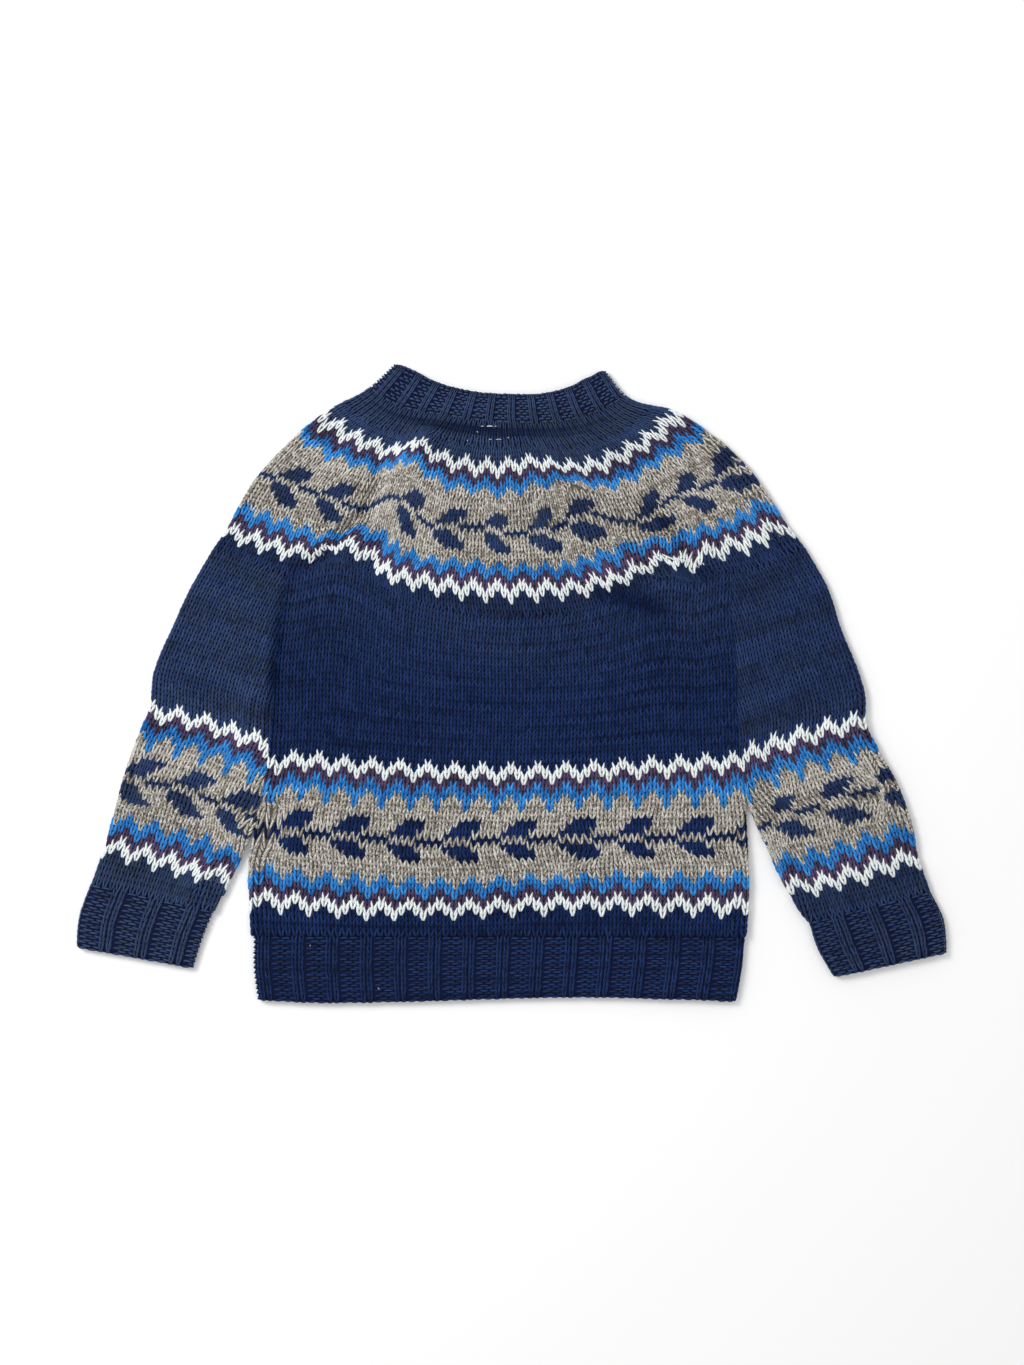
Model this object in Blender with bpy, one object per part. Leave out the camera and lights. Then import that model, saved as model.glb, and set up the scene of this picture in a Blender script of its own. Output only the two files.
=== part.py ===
"""Fair isle jumper, hand-knitted in the round from thick wool and laid flat with its back up.

Every piece is a knitted tube pressed flat: a back wall lies on a front wall, and the two turn into
each other at a rounded fold on either side.  The shape of a piece comes from its courses, the lines
that its knitted rows follow across the back.  A few guide courses are given in tables, in
millimetres, and the courses between them are carried smoothly from one guide to the next.
The front lies under the back on the same courses, flat on the floor.

Frame: X to the right across the back, Y from hem to neck, Z up, with the origin on the floor at the
middle of the whole outline.
"""
import math
from collections import namedtuple

import bmesh
import bpy
import numpy as np

MM = 0.001

# ---------------------------------------------------------------- driving sizes
WALL = 3.6 * MM             # thickness of the knitted cloth
LAID_HEIGHT = 9.8 * MM      # top of the back above the floor: two walls and the slack between
SLACK_MOST = 3.0 * MM       # the front lifts with the back, so the slack is never more than this
SLACK_LEAST = 0.5 * MM      # and never less than this
FOLD_REACH = 8.0 * MM       # how far in from a side fold the rounding goes
SEAM_GAP = 0.3 * MM         # clearance between two pieces at a seam
SIDE_GAP = 0.5 * MM         # body and sleeves stand this far in from the groove between them
RIB_RELIEF = 1.3 * MM       # knit columns of a rib above its purl columns
OUTLINE_MIDDLE = (-0.25 * MM, -0.321 * MM)    # middle of the outline's box in the tables' own frame

# Each course is worked out at this many steps; it is a multiple of every count of stations below.
FINE_STEPS = 288

# Stations are the places along a course where a wall has points.
SLEEVE_STATIONS = 6
BODY_STATIONS = 36
YOKE_STATIONS = BODY_STATIONS + 2 * SLEEVE_STATIONS
BODY_CAST_ON = 62           # knitted rows from the hem rib to the underarms
SLEEVE_ROWS = 63            # knitted rows from the cuff to the underarm
YOKE_ROWS = 38              # knitted rows from the underarms to the neckband

BACK_ANGLES = (30.0, 60.0, 90.0)    # points round a side fold, from its edge up onto the back
FRONT_ANGLES = (45.0, 90.0)         # and down onto the front

# ---------------------------------------------------------------- guide courses
# The yoke and the neckband: X, Y in mm where the course passes each fold of the cloth.
RoundCourse = namedtuple("RoundCourse", "row left_fold left_shoulder left_valley left_ridge "
                         "left_back centre right_back right_ridge right_valley right_underarm "
                         "right_shoulder right_fold")
ROUND_COURSES = (
    RoundCourse(0.0, (-311, 139), (-272, 125), (-231, 112), (-180, 124), (-116, 90), (-7, 69),
                (102, 83), (163, 109), (196, 103), (213, 113), (243, 116), (305, 140)),
    RoundCourse(4.0, (-300, 155), (-264, 145), (-214, 131), (-164, 147), (-116, 116), (-12, 94),
                (92, 107), (147, 127), (191, 124), (209, 138), (246, 148), (289, 161)),
    RoundCourse(16.5, (-263, 217), (-210, 199), (-155, 180), (-124, 195), (-74, 166), (6, 155),
                (84, 157), (119, 163), (154, 182), (187, 198), (215, 211), (242, 228)),
    RoundCourse(29.0, (-196, 281), (-173, 258), (-132, 241), (-102, 249), (-67, 233), (-4, 226),
                (80, 226), (117, 242), (135, 250), (151, 260), (163, 267), (174, 281.5)),
    RoundCourse(38.0, (-149, 307), (-134, 295), (-117, 286), (-100, 282), (-69, 277), (-7, 270),
                (50, 271), (73, 275), (84, 279), (94, 283), (105, 289), (120, 298)),
    RoundCourse(43.5, (-122, 332), (-110, 328), (-97, 322), (-84, 315), (-57, 306), (-4, 300),
                (40, 302), (63, 309), (74, 315), (83, 319), (90, 323), (97, 325)),
)

# The body and hem rib, and the sleeves and cuffs: the two ends of a course in mm, how much it
# bends (1 is the bend of the yoke's first course there, 0 is straight), and the height in mm of the
# wave along it, down on the left and up on the right.
FlatCourse = namedtuple("FlatCourse", "row left right bend wave")
BODY_COURSES = (
    FlatCourse(0, (-269, -264), (242, -265), 0.0, 0),
    FlatCourse(8, (-271, -219), (245, -219), 0.0, 0),
    FlatCourse(14, (-271, -186), (244.5, -186), 0.0, 0),
    FlatCourse(20, (-265, -151), (243, -151), 0.0, 0),
    FlatCourse(26, (-259, -116), (240, -116), 0.0, 0),
    FlatCourse(32, (-253, -82), (235, -81), 0.0, 0),
    FlatCourse(40, (-248, -31), (233, -31), 0.25, 0),
    FlatCourse(48, (-245, 21), (232, 21), 0.5, 0),
    FlatCourse(55, (-240, 66), (227, 65), 0.78, 0),
    FlatCourse(BODY_CAST_ON, (-231, 112), (213, 113), 1.0, 0),
)
HEM_COURSES = (
    FlatCourse(-12, (-265, -330), (233, -331.5), -0.05, -2.6),
    FlatCourse(-6, (-269, -297), (239, -298), -0.02, -1.3),
    FlatCourse(0, (-269, -264), (242, -265), 0.0, 0),
)
SLEEVE_LEFT_COURSES = (
    FlatCourse(0, (-438, -209), (-310, -238), 0.0, 0),
    FlatCourse(6, (-425, -173), (-295, -205), 0.0, 0),
    FlatCourse(12, (-414, -137), (-279, -172), 0.0, 0),
    FlatCourse(18.5, (-405, -101), (-264.5, -141), 0.0, 0),
    FlatCourse(25, (-392, -64), (-258.5, -104), 0.0, 0),
    FlatCourse(31, (-378, -28), (-253, -65), 0.0, 0),
    FlatCourse(39, (-372, 13), (-249, -22), 0.0, 0),
    FlatCourse(47, (-353, 58), (-246, 22), 0.2, 0),
    FlatCourse(55, (-334, 99), (-240.5, 67), 0.6, 0),
    FlatCourse(SLEEVE_ROWS, (-311, 139), (-231, 112), 1.0, 0),
)
CUFF_LEFT_COURSES = (
    FlatCourse(-11, (-453, -275), (-331, -297), 0.0, 0),
    FlatCourse(-5.5, (-450, -243), (-322, -268), 0.0, 0),
    FlatCourse(0, (-438, -209), (-310, -238), 0.0, 0),
)
SLEEVE_RIGHT_COURSES = (
    FlatCourse(0, (309, -249), (435, -217), 0.0, 0),
    FlatCourse(6, (288, -215), (422.5, -181), 0.0, 0),
    FlatCourse(12, (272, -181), (415, -143), 0.0, 0),
    FlatCourse(18.5, (255, -144), (400, -102), 0.0, 0),
    FlatCourse(25, (244, -112), (383, -72), 0.0, 0),
    FlatCourse(31, (237.5, -81), (369, -39), 0.0, 0),
    FlatCourse(35, (236, -55), (368, -14), 0.0, 0),
    FlatCourse(39, (235, -33), (361.5, 9), 0.0, 0),
    FlatCourse(47, (234, 15), (343, 54), 0.2, 0),
    FlatCourse(55, (229, 63), (328.5, 98), 0.6, 0),
    FlatCourse(SLEEVE_ROWS, (213, 113), (305, 140), 1.0, 0),
)
CUFF_RIGHT_COURSES = (
    FlatCourse(-11, (335, -306.5), (452.5, -281), 0.0, 0),
    FlatCourse(-5.5, (318.5, -278), (449, -247), 0.0, 0),
    FlatCourse(0, (309, -249), (435, -217), 0.0, 0),
)

# ---------------------------------------------------------------- folds in the back
# Lines along which the back stands up (height above 0) or sinks, all in mm.
Fold = namedtuple("Fold", "name half_width height path")
FOLDS = (
    Fold("left yoke crease", 8, -1.6, ((-229, 114), (-203, 131), (-156, 175), (-144, 210), (-137, 245))),
    Fold("left yoke roll", 13, 3.0, ((-182, 116), (-168, 147), (-128, 190), (-112, 225), (-100, 258))),
    Fold("right yoke roll", 14, 3.2, ((168, 96), (147, 131), (124, 163), (106, 205))),
    Fold("right yoke crease", 8, -1.6, ((213, 109), (187, 122), (163, 160), (134, 192))),
    Fold("neck dimple", 16, -1.4, ((48, 222), (44, 190), (52, 150), (82, 126))),
    Fold("roll beside the dimple", 14, 1.6, ((20, 210), (12, 170), (22, 130))),
    Fold("right back dent", 17, -1.3, ((100, 92), (140, 84), (158, 44), (150, 11), (188, -16), (222, -10))),
    Fold("right underarm roll", 12, 1.6, ((214, 96), (192, 76), (180, 48))),
    Fold("middle back dent", 18, -1.1, ((-104, 32), (-69, 15), (-43, -18), (40, -10))),
    Fold("middle back roll", 18, 1.1, ((-90, 76), (-33, 44), (19, 18), (92, 3))),
    Fold("lower back dent", 15, -0.9, ((84, -46), (144, -39), (208, -50))),
    Fold("left side crease", 10, -1.0, ((-222, 92), (-190, 50), (-170, 5))),
    Fold("left elbow crease", 10, -1.2, ((-368, 20), (-330, 2), (-290, -6))),
    Fold("right elbow crease", 10, -1.2, ((360, 14), (326, 8), (286, -16))),
)

# ---------------------------------------------------------------- ribs
# Stations over the back of a rib, and the station at the middle of its first knit column.
Rib = namedtuple("Rib", "stations first_knit")
HEM_RIB = Rib(58, 1.5)
NECK_RIB = Rib(YOKE_STATIONS, 2.5)
CUFF_LEFT_RIB = Rib(14, 3.5)
CUFF_RIGHT_RIB = Rib(15, 3.5)
RIB_PITCH = 4               # stations from one knit column to the next

# ---------------------------------------------------------------- wool colours
NAVY_WOOL = (0.012, 0.018, 0.085)
PATTERN_WOOL = (0.16, 0.14, 0.12)
WOOL_ROUGHNESS = 0.92


# ---------------------------------------------------------------- courses
def smooth(knots, values, at):
    """Values at new places on a smooth line through the knots.

    Cubic Hermite pieces join the knots; the slope at a knot is the weighted mean of the slopes of
    the two straight pieces that meet there.
    """
    knots = np.asarray(knots, dtype=float)
    values = np.asarray(values, dtype=float)
    wide = (slice(None),) + (None,) * (values.ndim - 1)
    gaps = np.diff(knots)[wide]
    steps = np.diff(values, axis=0) / gaps
    slopes = np.empty_like(values)
    slopes[0], slopes[-1] = steps[0], steps[-1]
    slopes[1:-1] = (gaps[1:] * steps[:-1] + gaps[:-1] * steps[1:]) / (gaps[1:] + gaps[:-1])
    at = np.asarray(at, dtype=float)
    piece = np.clip(np.searchsorted(knots, at, side="right") - 1, 0, len(knots) - 2)
    span = gaps[piece]
    t = ((at - knots[piece])[wide]) / span
    return ((1 + 2 * t) * (1 - t) ** 2 * values[piece] + t * (1 - t) ** 2 * span * slopes[piece]
            + t ** 2 * (3 - 2 * t) * values[piece + 1] + t ** 2 * (t - 1) * span * slopes[piece + 1])


def lengths(course):
    """Length along a course at each of its points."""
    return np.concatenate([[0.0], np.cumsum(np.linalg.norm(np.diff(course, axis=0), axis=1))])


def even(course):
    """The same course with its points evenly spaced along it."""
    run = lengths(course)
    places = np.linspace(0.0, run[-1], FINE_STEPS + 1)
    return np.column_stack([np.interp(places, run, course[:, k]) for k in (0, 1)])


def through_stations(course, stations):
    """The straight-sided line through a course's stations, at the fine steps."""
    marks = np.linspace(0, len(course) - 1, stations + 1)
    corners = np.column_stack([np.interp(marks, np.arange(len(course)), course[:, k]) for k in (0, 1)])
    fine = np.linspace(0, stations, FINE_STEPS + 1)
    return np.column_stack([np.interp(fine, np.arange(stations + 1), corners[:, k]) for k in (0, 1)])


def bent_line(guide, pattern):
    """A straight line from left to right, with a share of another course's bend and one slow wave."""
    share = np.linspace(0.0, 1.0, FINE_STEPS + 1)[:, None]
    straight = in_metres(guide.left) * (1 - share) + in_metres(guide.right) * share
    bend = pattern - (pattern[0] * (1 - share) + pattern[-1] * share)
    wave = np.sin(2 * np.pi * share) * np.array([0.0, guide.wave * MM])
    return straight + guide.bend * bend + wave


def in_metres(point):
    return np.asarray(point, dtype=float) * MM - np.asarray(OUTLINE_MIDDLE)


def round_guides():
    """Rows and courses of the yoke and neckband, from their table."""
    guides = []
    for guide in ROUND_COURSES:
        points = np.array([in_metres(point) for point in guide[1:]])
        run = lengths(points)
        guides.append(even(smooth(run, points, np.linspace(0.0, run[-1], FINE_STEPS + 1))))
    return np.array([guide.row for guide in ROUND_COURSES]), np.array(guides)


def flat_guides(table, pattern):
    """Rows and courses of a body or sleeve piece, whose bend follows the yoke's first course."""
    courses = [bent_line(guide, pattern) for guide in table]
    return np.array([guide.row for guide in table], dtype=float), np.array(courses)


def seam_part(seam, first, last):
    """The stretch of the yoke's first course between two of its stations, at the fine steps."""
    per_station = FINE_STEPS / YOKE_STATIONS
    places = np.linspace(first * per_station, last * per_station, FINE_STEPS + 1)
    return np.column_stack([np.interp(places, np.arange(len(seam)), seam[:, k]) for k in (0, 1)])


# ---------------------------------------------------------------- heights
def distance_to_path(points, path):
    """Distance from each point to a line through the path's points, and the place along it, 0 to 1."""
    run = lengths(path)
    nearest = np.full(len(points), np.inf)
    place = np.zeros(len(points))
    for start, end, before, after in zip(path[:-1], path[1:], run[:-1], run[1:]):
        along = end - start
        share = np.clip((points - start) @ along / (along @ along), 0.0, 1.0)
        gap = np.linalg.norm(points - start - share[:, None] * along, axis=1)
        closer = gap < nearest
        nearest = np.where(closer, gap, nearest)
        place = np.where(closer, (before + share * (after - before)) / run[-1], place)
    return nearest, place


def laid_top(points):
    """Height of the back above the floor: a level top with a soft wave along each fold."""
    height = np.full(len(points), LAID_HEIGHT)
    for fold in FOLDS:
        path = np.array([in_metres(point) for point in fold.path])
        gap, place = distance_to_path(points, path)
        fading = np.sin(np.pi * (0.12 + 0.76 * place))
        height += fold.height * MM * fading * np.exp(-(gap / (fold.half_width * MM)) ** 2)
    return height


def rib_relief(rib):
    """Height of a rib's outer points at its stations: two up, two down."""
    station = np.arange(1, rib.stations)
    off = (station - rib.first_knit + RIB_PITCH / 2) % RIB_PITCH - RIB_PITCH / 2
    return np.where(np.abs(off) < 1.0, RIB_RELIEF, 0.0)


# ---------------------------------------------------------------- one section of a tube
def at_length(course, run, places):
    return np.column_stack([np.interp(places, run, course[:, k]) for k in (0, 1)])


def section(course, stations, front_stations, insets, relief):
    """Points round a flattened tube where it crosses one course: outer ring and inner ring.

    Both rings start at the left fold, cross the back to the right fold and return along the front.
    Round a fold the outer ring is a quarter ellipse, FOLD_REACH wide and half the laid height high,
    and the inner ring is another, one wall further in.
    """
    front = through_stations(course, front_stations)
    back_turn = np.radians(BACK_ANGLES)
    front_turn = np.radians(FRONT_ANGLES)
    back_marks = np.arange(1, stations) / stations * FINE_STEPS
    front_marks = np.arange(front_stations - 1, 0, -1) / front_stations * FINE_STEPS
    steps = np.arange(FINE_STEPS + 1)
    run, front_run = lengths(course), lengths(front)
    left_inset, right_inset = insets

    rings = []
    for depth in (0.0, WALL):
        def fold_places(turn):
            return depth + (FOLD_REACH - depth) * (1.0 - np.cos(turn))

        back_flat = np.column_stack([np.interp(back_marks, steps, course[:, k]) for k in (0, 1)])
        front_flat = np.column_stack([np.interp(front_marks, steps, front[:, k]) for k in (0, 1)])
        plan = np.vstack([
            at_length(course, run, [left_inset + depth]),
            at_length(course, run, left_inset + fold_places(back_turn)),
            back_flat,
            at_length(course, run, run[-1] - right_inset - fold_places(back_turn[::-1])),
            at_length(course, run, [run[-1] - right_inset - depth]),
            at_length(front, front_run, front_run[-1] - right_inset - fold_places(front_turn)),
            front_flat,
            at_length(front, front_run, left_inset + fold_places(front_turn[::-1])),
        ])
        tilt = np.concatenate([
            [0.0], np.sin(back_turn), np.ones(len(back_flat)), np.sin(back_turn[::-1]),
            [0.0], -np.sin(front_turn), -np.ones(len(front_flat)), -np.sin(front_turn[::-1]),
        ])
        top = laid_top(plan)
        bottom = np.zeros(len(plan))
        if depth:
            bottom = np.full(len(plan), depth)
            top = np.clip(top - depth, depth + SLACK_LEAST, depth + SLACK_MOST)
        height = (bottom + top) / 2 + tilt * (top - bottom) / 2
        if relief is not None and not depth:
            first = 1 + len(back_turn)
            height[first:first + len(relief)] += relief
        rings.append(np.column_stack([plan, height]))
    return np.vstack(rings)


# ---------------------------------------------------------------- a piece
Piece = namedtuple("Piece", "name guides rows stations front_stations insets gaps rib colour")


def wool(name, colour):
    """Plain knitting wool."""
    material = bpy.data.materials.new(name)
    material.use_nodes = True
    shader = material.node_tree.nodes["Principled BSDF"]
    shader.inputs["Base Color"].default_value = (*colour, 1.0)
    shader.inputs["Roughness"].default_value = WOOL_ROUGHNESS
    shader.inputs["Metallic"].default_value = 0.0
    return material


def piece_courses(piece):
    """The piece's courses, with an end drawn back by the seam gap where the table says so."""
    rows, guides = piece.guides
    courses = smooth(rows, guides, piece.rows)
    for end, inward, gap in ((0, 1, piece.gaps[0]), (-1, -2, piece.gaps[1])):
        towards = courses[inward] - courses[end]
        towards /= np.linalg.norm(towards, axis=1)[:, None]
        courses[end] += gap * towards
    return courses


def knit_tube(piece, material, collection):
    """A closed wall lofted through the sections at the piece's courses."""
    relief = rib_relief(piece.rib) if piece.rib else None
    sections = [section(course, piece.stations, piece.front_stations, piece.insets, relief)
                for course in piece_courses(piece)]
    per_section = len(sections[0])
    ring = per_section // 2
    last = len(sections) - 1

    faces = []
    for j in range(ring):
        k = (j + 1) % ring
        for i in range(last):
            here, above = i * per_section, (i + 1) * per_section
            faces.append((here + j, here + k, above + k, above + j))
            faces.append((here + ring + k, here + ring + j, above + ring + j, above + ring + k))
        top = last * per_section
        faces.append((k, j, ring + j, ring + k))
        faces.append((top + j, top + k, top + ring + k, top + ring + j))

    mesh = bpy.data.meshes.new(piece.name)
    mesh.from_pydata(np.vstack(sections).tolist(), [], faces)
    shaping = bmesh.new()
    shaping.from_mesh(mesh)
    bmesh.ops.recalc_face_normals(shaping, faces=shaping.faces)
    shaping.to_mesh(mesh)
    shaping.free()
    mesh.shade_smooth()
    mesh.set_sharp_from_angle(angle=math.radians(50))
    mesh.materials.append(material)
    garment_piece = bpy.data.objects.new(piece.name, mesh)
    collection.objects.link(garment_piece)
    return garment_piece


def main():
    for old in list(bpy.data.objects):
        bpy.data.objects.remove(old, do_unlink=True)
    collection = bpy.data.collections.new("fair_isle_jumper")
    bpy.context.scene.collection.children.link(collection)
    navy = wool("navy_wool", NAVY_WOOL)
    patterned = wool("patterned_wool", PATTERN_WOOL)

    rounds = round_guides()
    seam = through_stations(rounds[1][0], YOKE_STATIONS)
    left_end, right_end = SLEEVE_STATIONS, SLEEVE_STATIONS + BODY_STATIONS
    left_seam = seam_part(seam, 0, left_end)
    body_seam = seam_part(seam, left_end, right_end)
    right_seam = seam_part(seam, right_end, YOKE_STATIONS)

    body_guides = flat_guides(BODY_COURSES, body_seam)
    left_guides = flat_guides(SLEEVE_LEFT_COURSES, left_seam)
    right_guides = flat_guides(SLEEVE_RIGHT_COURSES, right_seam)
    for guides, course in ((body_guides, body_seam), (left_guides, left_seam), (right_guides, right_seam)):
        guides[1][-1] = course

    pieces = (
        Piece("hem_rib", flat_guides(HEM_COURSES, body_seam), (-12, -8, -4, 0), HEM_RIB.stations, 18,
              (0.0, 0.0), (0.0, 0.0), HEM_RIB, navy),
        Piece("body", body_guides, np.linspace(0, BODY_CAST_ON, 13), BODY_STATIONS, BODY_STATIONS // 2,
              (SIDE_GAP, SIDE_GAP), (SEAM_GAP, SEAM_GAP), None, patterned),
        Piece("yoke", rounds, np.linspace(0, YOKE_ROWS, 17), YOKE_STATIONS, YOKE_STATIONS // 2,
              (0.0, 0.0), (0.0, 0.0), None, patterned),
        Piece("neckband", rounds, (38, 39.5, 41, 42.3, 43.5), NECK_RIB.stations, YOKE_STATIONS // 2,
              (0.0, 0.0), (SEAM_GAP, 0.0), NECK_RIB, navy),
        Piece("sleeve_left", left_guides, np.linspace(0, SLEEVE_ROWS, 13), SLEEVE_STATIONS,
              SLEEVE_STATIONS // 2, (0.0, SIDE_GAP), (SEAM_GAP, SEAM_GAP), None, patterned),
        Piece("sleeve_right", right_guides, np.linspace(0, SLEEVE_ROWS, 13), SLEEVE_STATIONS,
              SLEEVE_STATIONS // 2, (SIDE_GAP, 0.0), (SEAM_GAP, SEAM_GAP), None, patterned),
        Piece("cuff_left", flat_guides(CUFF_LEFT_COURSES, left_seam), (-11, -7, -3.5, 0),
              CUFF_LEFT_RIB.stations, 6, (0.0, 0.0), (0.0, 0.0), CUFF_LEFT_RIB, navy),
        Piece("cuff_right", flat_guides(CUFF_RIGHT_COURSES, right_seam), (-11, -7, -3.5, 0),
              CUFF_RIGHT_RIB.stations, 6, (0.0, 0.0), (0.0, 0.0), CUFF_RIGHT_RIB, navy),
    )
    for piece in pieces:
        knit_tube(piece, piece.colour, collection)


main()
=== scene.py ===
"""Dresses the fair isle jumper: every stitch of the back and the front is a loop of wool.

The jumper is knitted in the round and lies flat, back up.  Each piece is a tube of two walls.  A
stitch is placed by its wale (the column it stands in, counted across) and its row (counted up from
the piece's cast-on or seam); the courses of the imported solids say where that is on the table.

Frame: X to the right across the back, Y from hem to neck, Z up, with the origin on the floor.
"""

from collections import namedtuple

import bpy
import numpy as np
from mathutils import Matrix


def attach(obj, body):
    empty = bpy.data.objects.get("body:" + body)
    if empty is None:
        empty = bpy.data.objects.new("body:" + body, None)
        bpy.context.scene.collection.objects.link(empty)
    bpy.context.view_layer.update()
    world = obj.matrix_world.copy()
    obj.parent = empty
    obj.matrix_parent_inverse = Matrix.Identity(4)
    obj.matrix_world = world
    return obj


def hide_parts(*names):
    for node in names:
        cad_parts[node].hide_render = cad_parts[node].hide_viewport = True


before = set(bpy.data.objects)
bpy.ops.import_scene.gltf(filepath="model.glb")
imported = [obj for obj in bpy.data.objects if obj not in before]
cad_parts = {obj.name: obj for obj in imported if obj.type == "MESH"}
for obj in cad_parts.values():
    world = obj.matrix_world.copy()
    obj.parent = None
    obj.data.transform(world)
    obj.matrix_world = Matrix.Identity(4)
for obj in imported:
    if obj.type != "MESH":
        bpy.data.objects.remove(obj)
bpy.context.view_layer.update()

MM = 0.001

# ---------------------------------------------------------------- driving sizes
LAID_HEIGHT = 9.8 * MM      # top of the back above the floor
FOLD_REACH = 8.0 * MM       # how far in from a side fold the rounding goes
FOLD_TURN = 10.2 * MM       # length of cloth in a quarter turn of a side fold
SIDE_INSET = -2.6 * MM      # how far in from the groove body and sleeves stand; here they press past it
OUTLINE_MIDDLE = (-0.25 * MM, -0.321 * MM)    # middle of the outline's box in the tables' own frame
GROUND_DEPTH = 1.9 * MM     # outer face of the ground under the stitches, below the cloth's face
GROUND_WALL = 1.4 * MM      # thickness of the ground
RIB_RELIEF = 1.2 * MM       # knit wales of a rib above its purl wales
RIB_FADE = 2.5              # rows from a rib's seam over which its relief comes in

FINE_STEPS = 288            # steps along a course
SLEEVE_STATIONS = 6
BODY_STATIONS = 36
YOKE_STATIONS = 48
BODY_CAST_ON = 62           # knitted rows from the hem rib to the underarms
SLEEVE_ROWS = 63            # knitted rows from the cuff to the underarm
YOKE_ROWS = 38              # knitted rows from the underarms to the neckband

RIB_FIRST = {"hem_rib": 1.5, "neckband": 2.5, "cuff_left": 3.5, "cuff_right": 3.5}   # first knit pair
RIB_SINK = 1.0 * MM         # purl wales of a rib's front lie this far off the floor
PAIR_WIDTH = 0.82           # width of a rib's knit wales; its purl wales have what these leave
UNDER_PITCH = 7.1 * MM      # width of a wale on the sleeves' fronts
DICE = np.random.default_rng(11)


# ---------------------------------------------------------------- guide courses
# The yoke and the neckband: X, Y in mm where the course passes each fold of the cloth.
RoundCourse = namedtuple("RoundCourse", "row left_fold left_shoulder left_valley left_ridge "
                         "left_back centre right_back right_ridge right_valley right_underarm "
                         "right_shoulder right_fold")
ROUND_COURSES = (
    RoundCourse(0.0, (-311, 139), (-272, 125), (-231, 112), (-180, 124), (-116, 90), (-7, 69),
                (102, 83), (163, 109), (196, 103), (213, 113), (243, 116), (305, 140)),
    RoundCourse(4.0, (-300, 155), (-264, 145), (-214, 131), (-164, 147), (-116, 116), (-12, 94),
                (92, 107), (147, 127), (191, 124), (209, 138), (246, 148), (289, 161)),
    RoundCourse(16.5, (-263, 217), (-210, 199), (-155, 180), (-124, 195), (-74, 166), (6, 155),
                (84, 157), (119, 163), (154, 182), (187, 198), (215, 211), (242, 228)),
    RoundCourse(29.0, (-196, 281), (-173, 258), (-132, 241), (-102, 249), (-67, 233), (-4, 226),
                (80, 226), (117, 242), (135, 250), (151, 260), (163, 267), (174, 281.5)),
    RoundCourse(38.0, (-149, 307), (-134, 295), (-117, 286), (-100, 282), (-69, 277), (-7, 270),
                (50, 271), (73, 275), (84, 279), (94, 283), (105, 289), (120, 298)),
    RoundCourse(43.5, (-122, 332), (-110, 328), (-97, 322), (-84, 315), (-57, 306), (-4, 300),
                (40, 302), (63, 309), (74, 315), (83, 319), (90, 323), (97, 325)),
)

# The body and hem rib, and the sleeves and cuffs: the two ends of a course in mm, how much it
# bends (1 is the bend of the yoke's first course there, 0 is straight), and the height in mm of the
# wave along it, up on the left and down on the right.
FlatCourse = namedtuple("FlatCourse", "row left right bend wave", defaults=(0.0, 0.0))
BODY_COURSES = (
    FlatCourse(0, (-269, -264), (242, -265)),
    FlatCourse(8, (-271, -219), (245, -219)),
    FlatCourse(14, (-271, -186), (244.5, -186)),
    FlatCourse(20, (-265, -151), (243, -151)),
    FlatCourse(26, (-259, -116), (240, -116)),
    FlatCourse(32, (-253, -82), (235, -81)),
    FlatCourse(40, (-248, -31), (233, -31), 0.25),
    FlatCourse(48, (-245, 21), (232, 21), 0.5),
    FlatCourse(55, (-240, 66), (227, 65), 0.78),
    FlatCourse(BODY_CAST_ON, (-231, 112), (213, 113), 1.0),
)
HEM_COURSES = (
    FlatCourse(-12, (-265, -330), (233, -331.5), -0.05, -2.6),
    FlatCourse(-6, (-269, -297), (239, -298), -0.02, -1.3),
    BODY_COURSES[0],
)
SLEEVE_LEFT_COURSES = (
    FlatCourse(0, (-438, -209), (-310, -238)),
    FlatCourse(6, (-425, -173), (-295, -205)),
    FlatCourse(12, (-414, -137), (-279, -172)),
    FlatCourse(18.5, (-405, -101), (-264.5, -141)),
    FlatCourse(25, (-392, -64), (-258.5, -104)),
    FlatCourse(31, (-378, -28), (-253, -65)),
    FlatCourse(39, (-372, 13), (-249, -22)),
    FlatCourse(47, (-353, 58), (-246, 22), 0.2),
    FlatCourse(55, (-334, 99), (-240.5, 67), 0.6),
    FlatCourse(SLEEVE_ROWS, (-311, 139), (-231, 112), 1.0),
)
CUFF_LEFT_COURSES = (
    FlatCourse(-11, (-453, -275), (-331, -297)),
    FlatCourse(-5.5, (-450, -243), (-322, -268)),
    SLEEVE_LEFT_COURSES[0],
)
SLEEVE_RIGHT_COURSES = (
    FlatCourse(0, (309, -249), (435, -217)),
    FlatCourse(6, (288, -215), (422.5, -181)),
    FlatCourse(12, (272, -181), (415, -143)),
    FlatCourse(18.5, (255, -144), (400, -102)),
    FlatCourse(25, (244, -112), (383, -72)),
    FlatCourse(31, (237.5, -81), (369, -39)),
    FlatCourse(35, (236, -55), (368, -14)),
    FlatCourse(39, (235, -33), (361.5, 9)),
    FlatCourse(47, (234, 15), (343, 54), 0.2),
    FlatCourse(55, (229, 63), (328.5, 98), 0.6),
    FlatCourse(SLEEVE_ROWS, (213, 113), (305, 140), 1.0),
)
CUFF_RIGHT_COURSES = (
    FlatCourse(-11, (335, -306.5), (452.5, -281)),
    FlatCourse(-5.5, (318.5, -278), (449, -247)),
    SLEEVE_RIGHT_COURSES[0],
)

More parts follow.
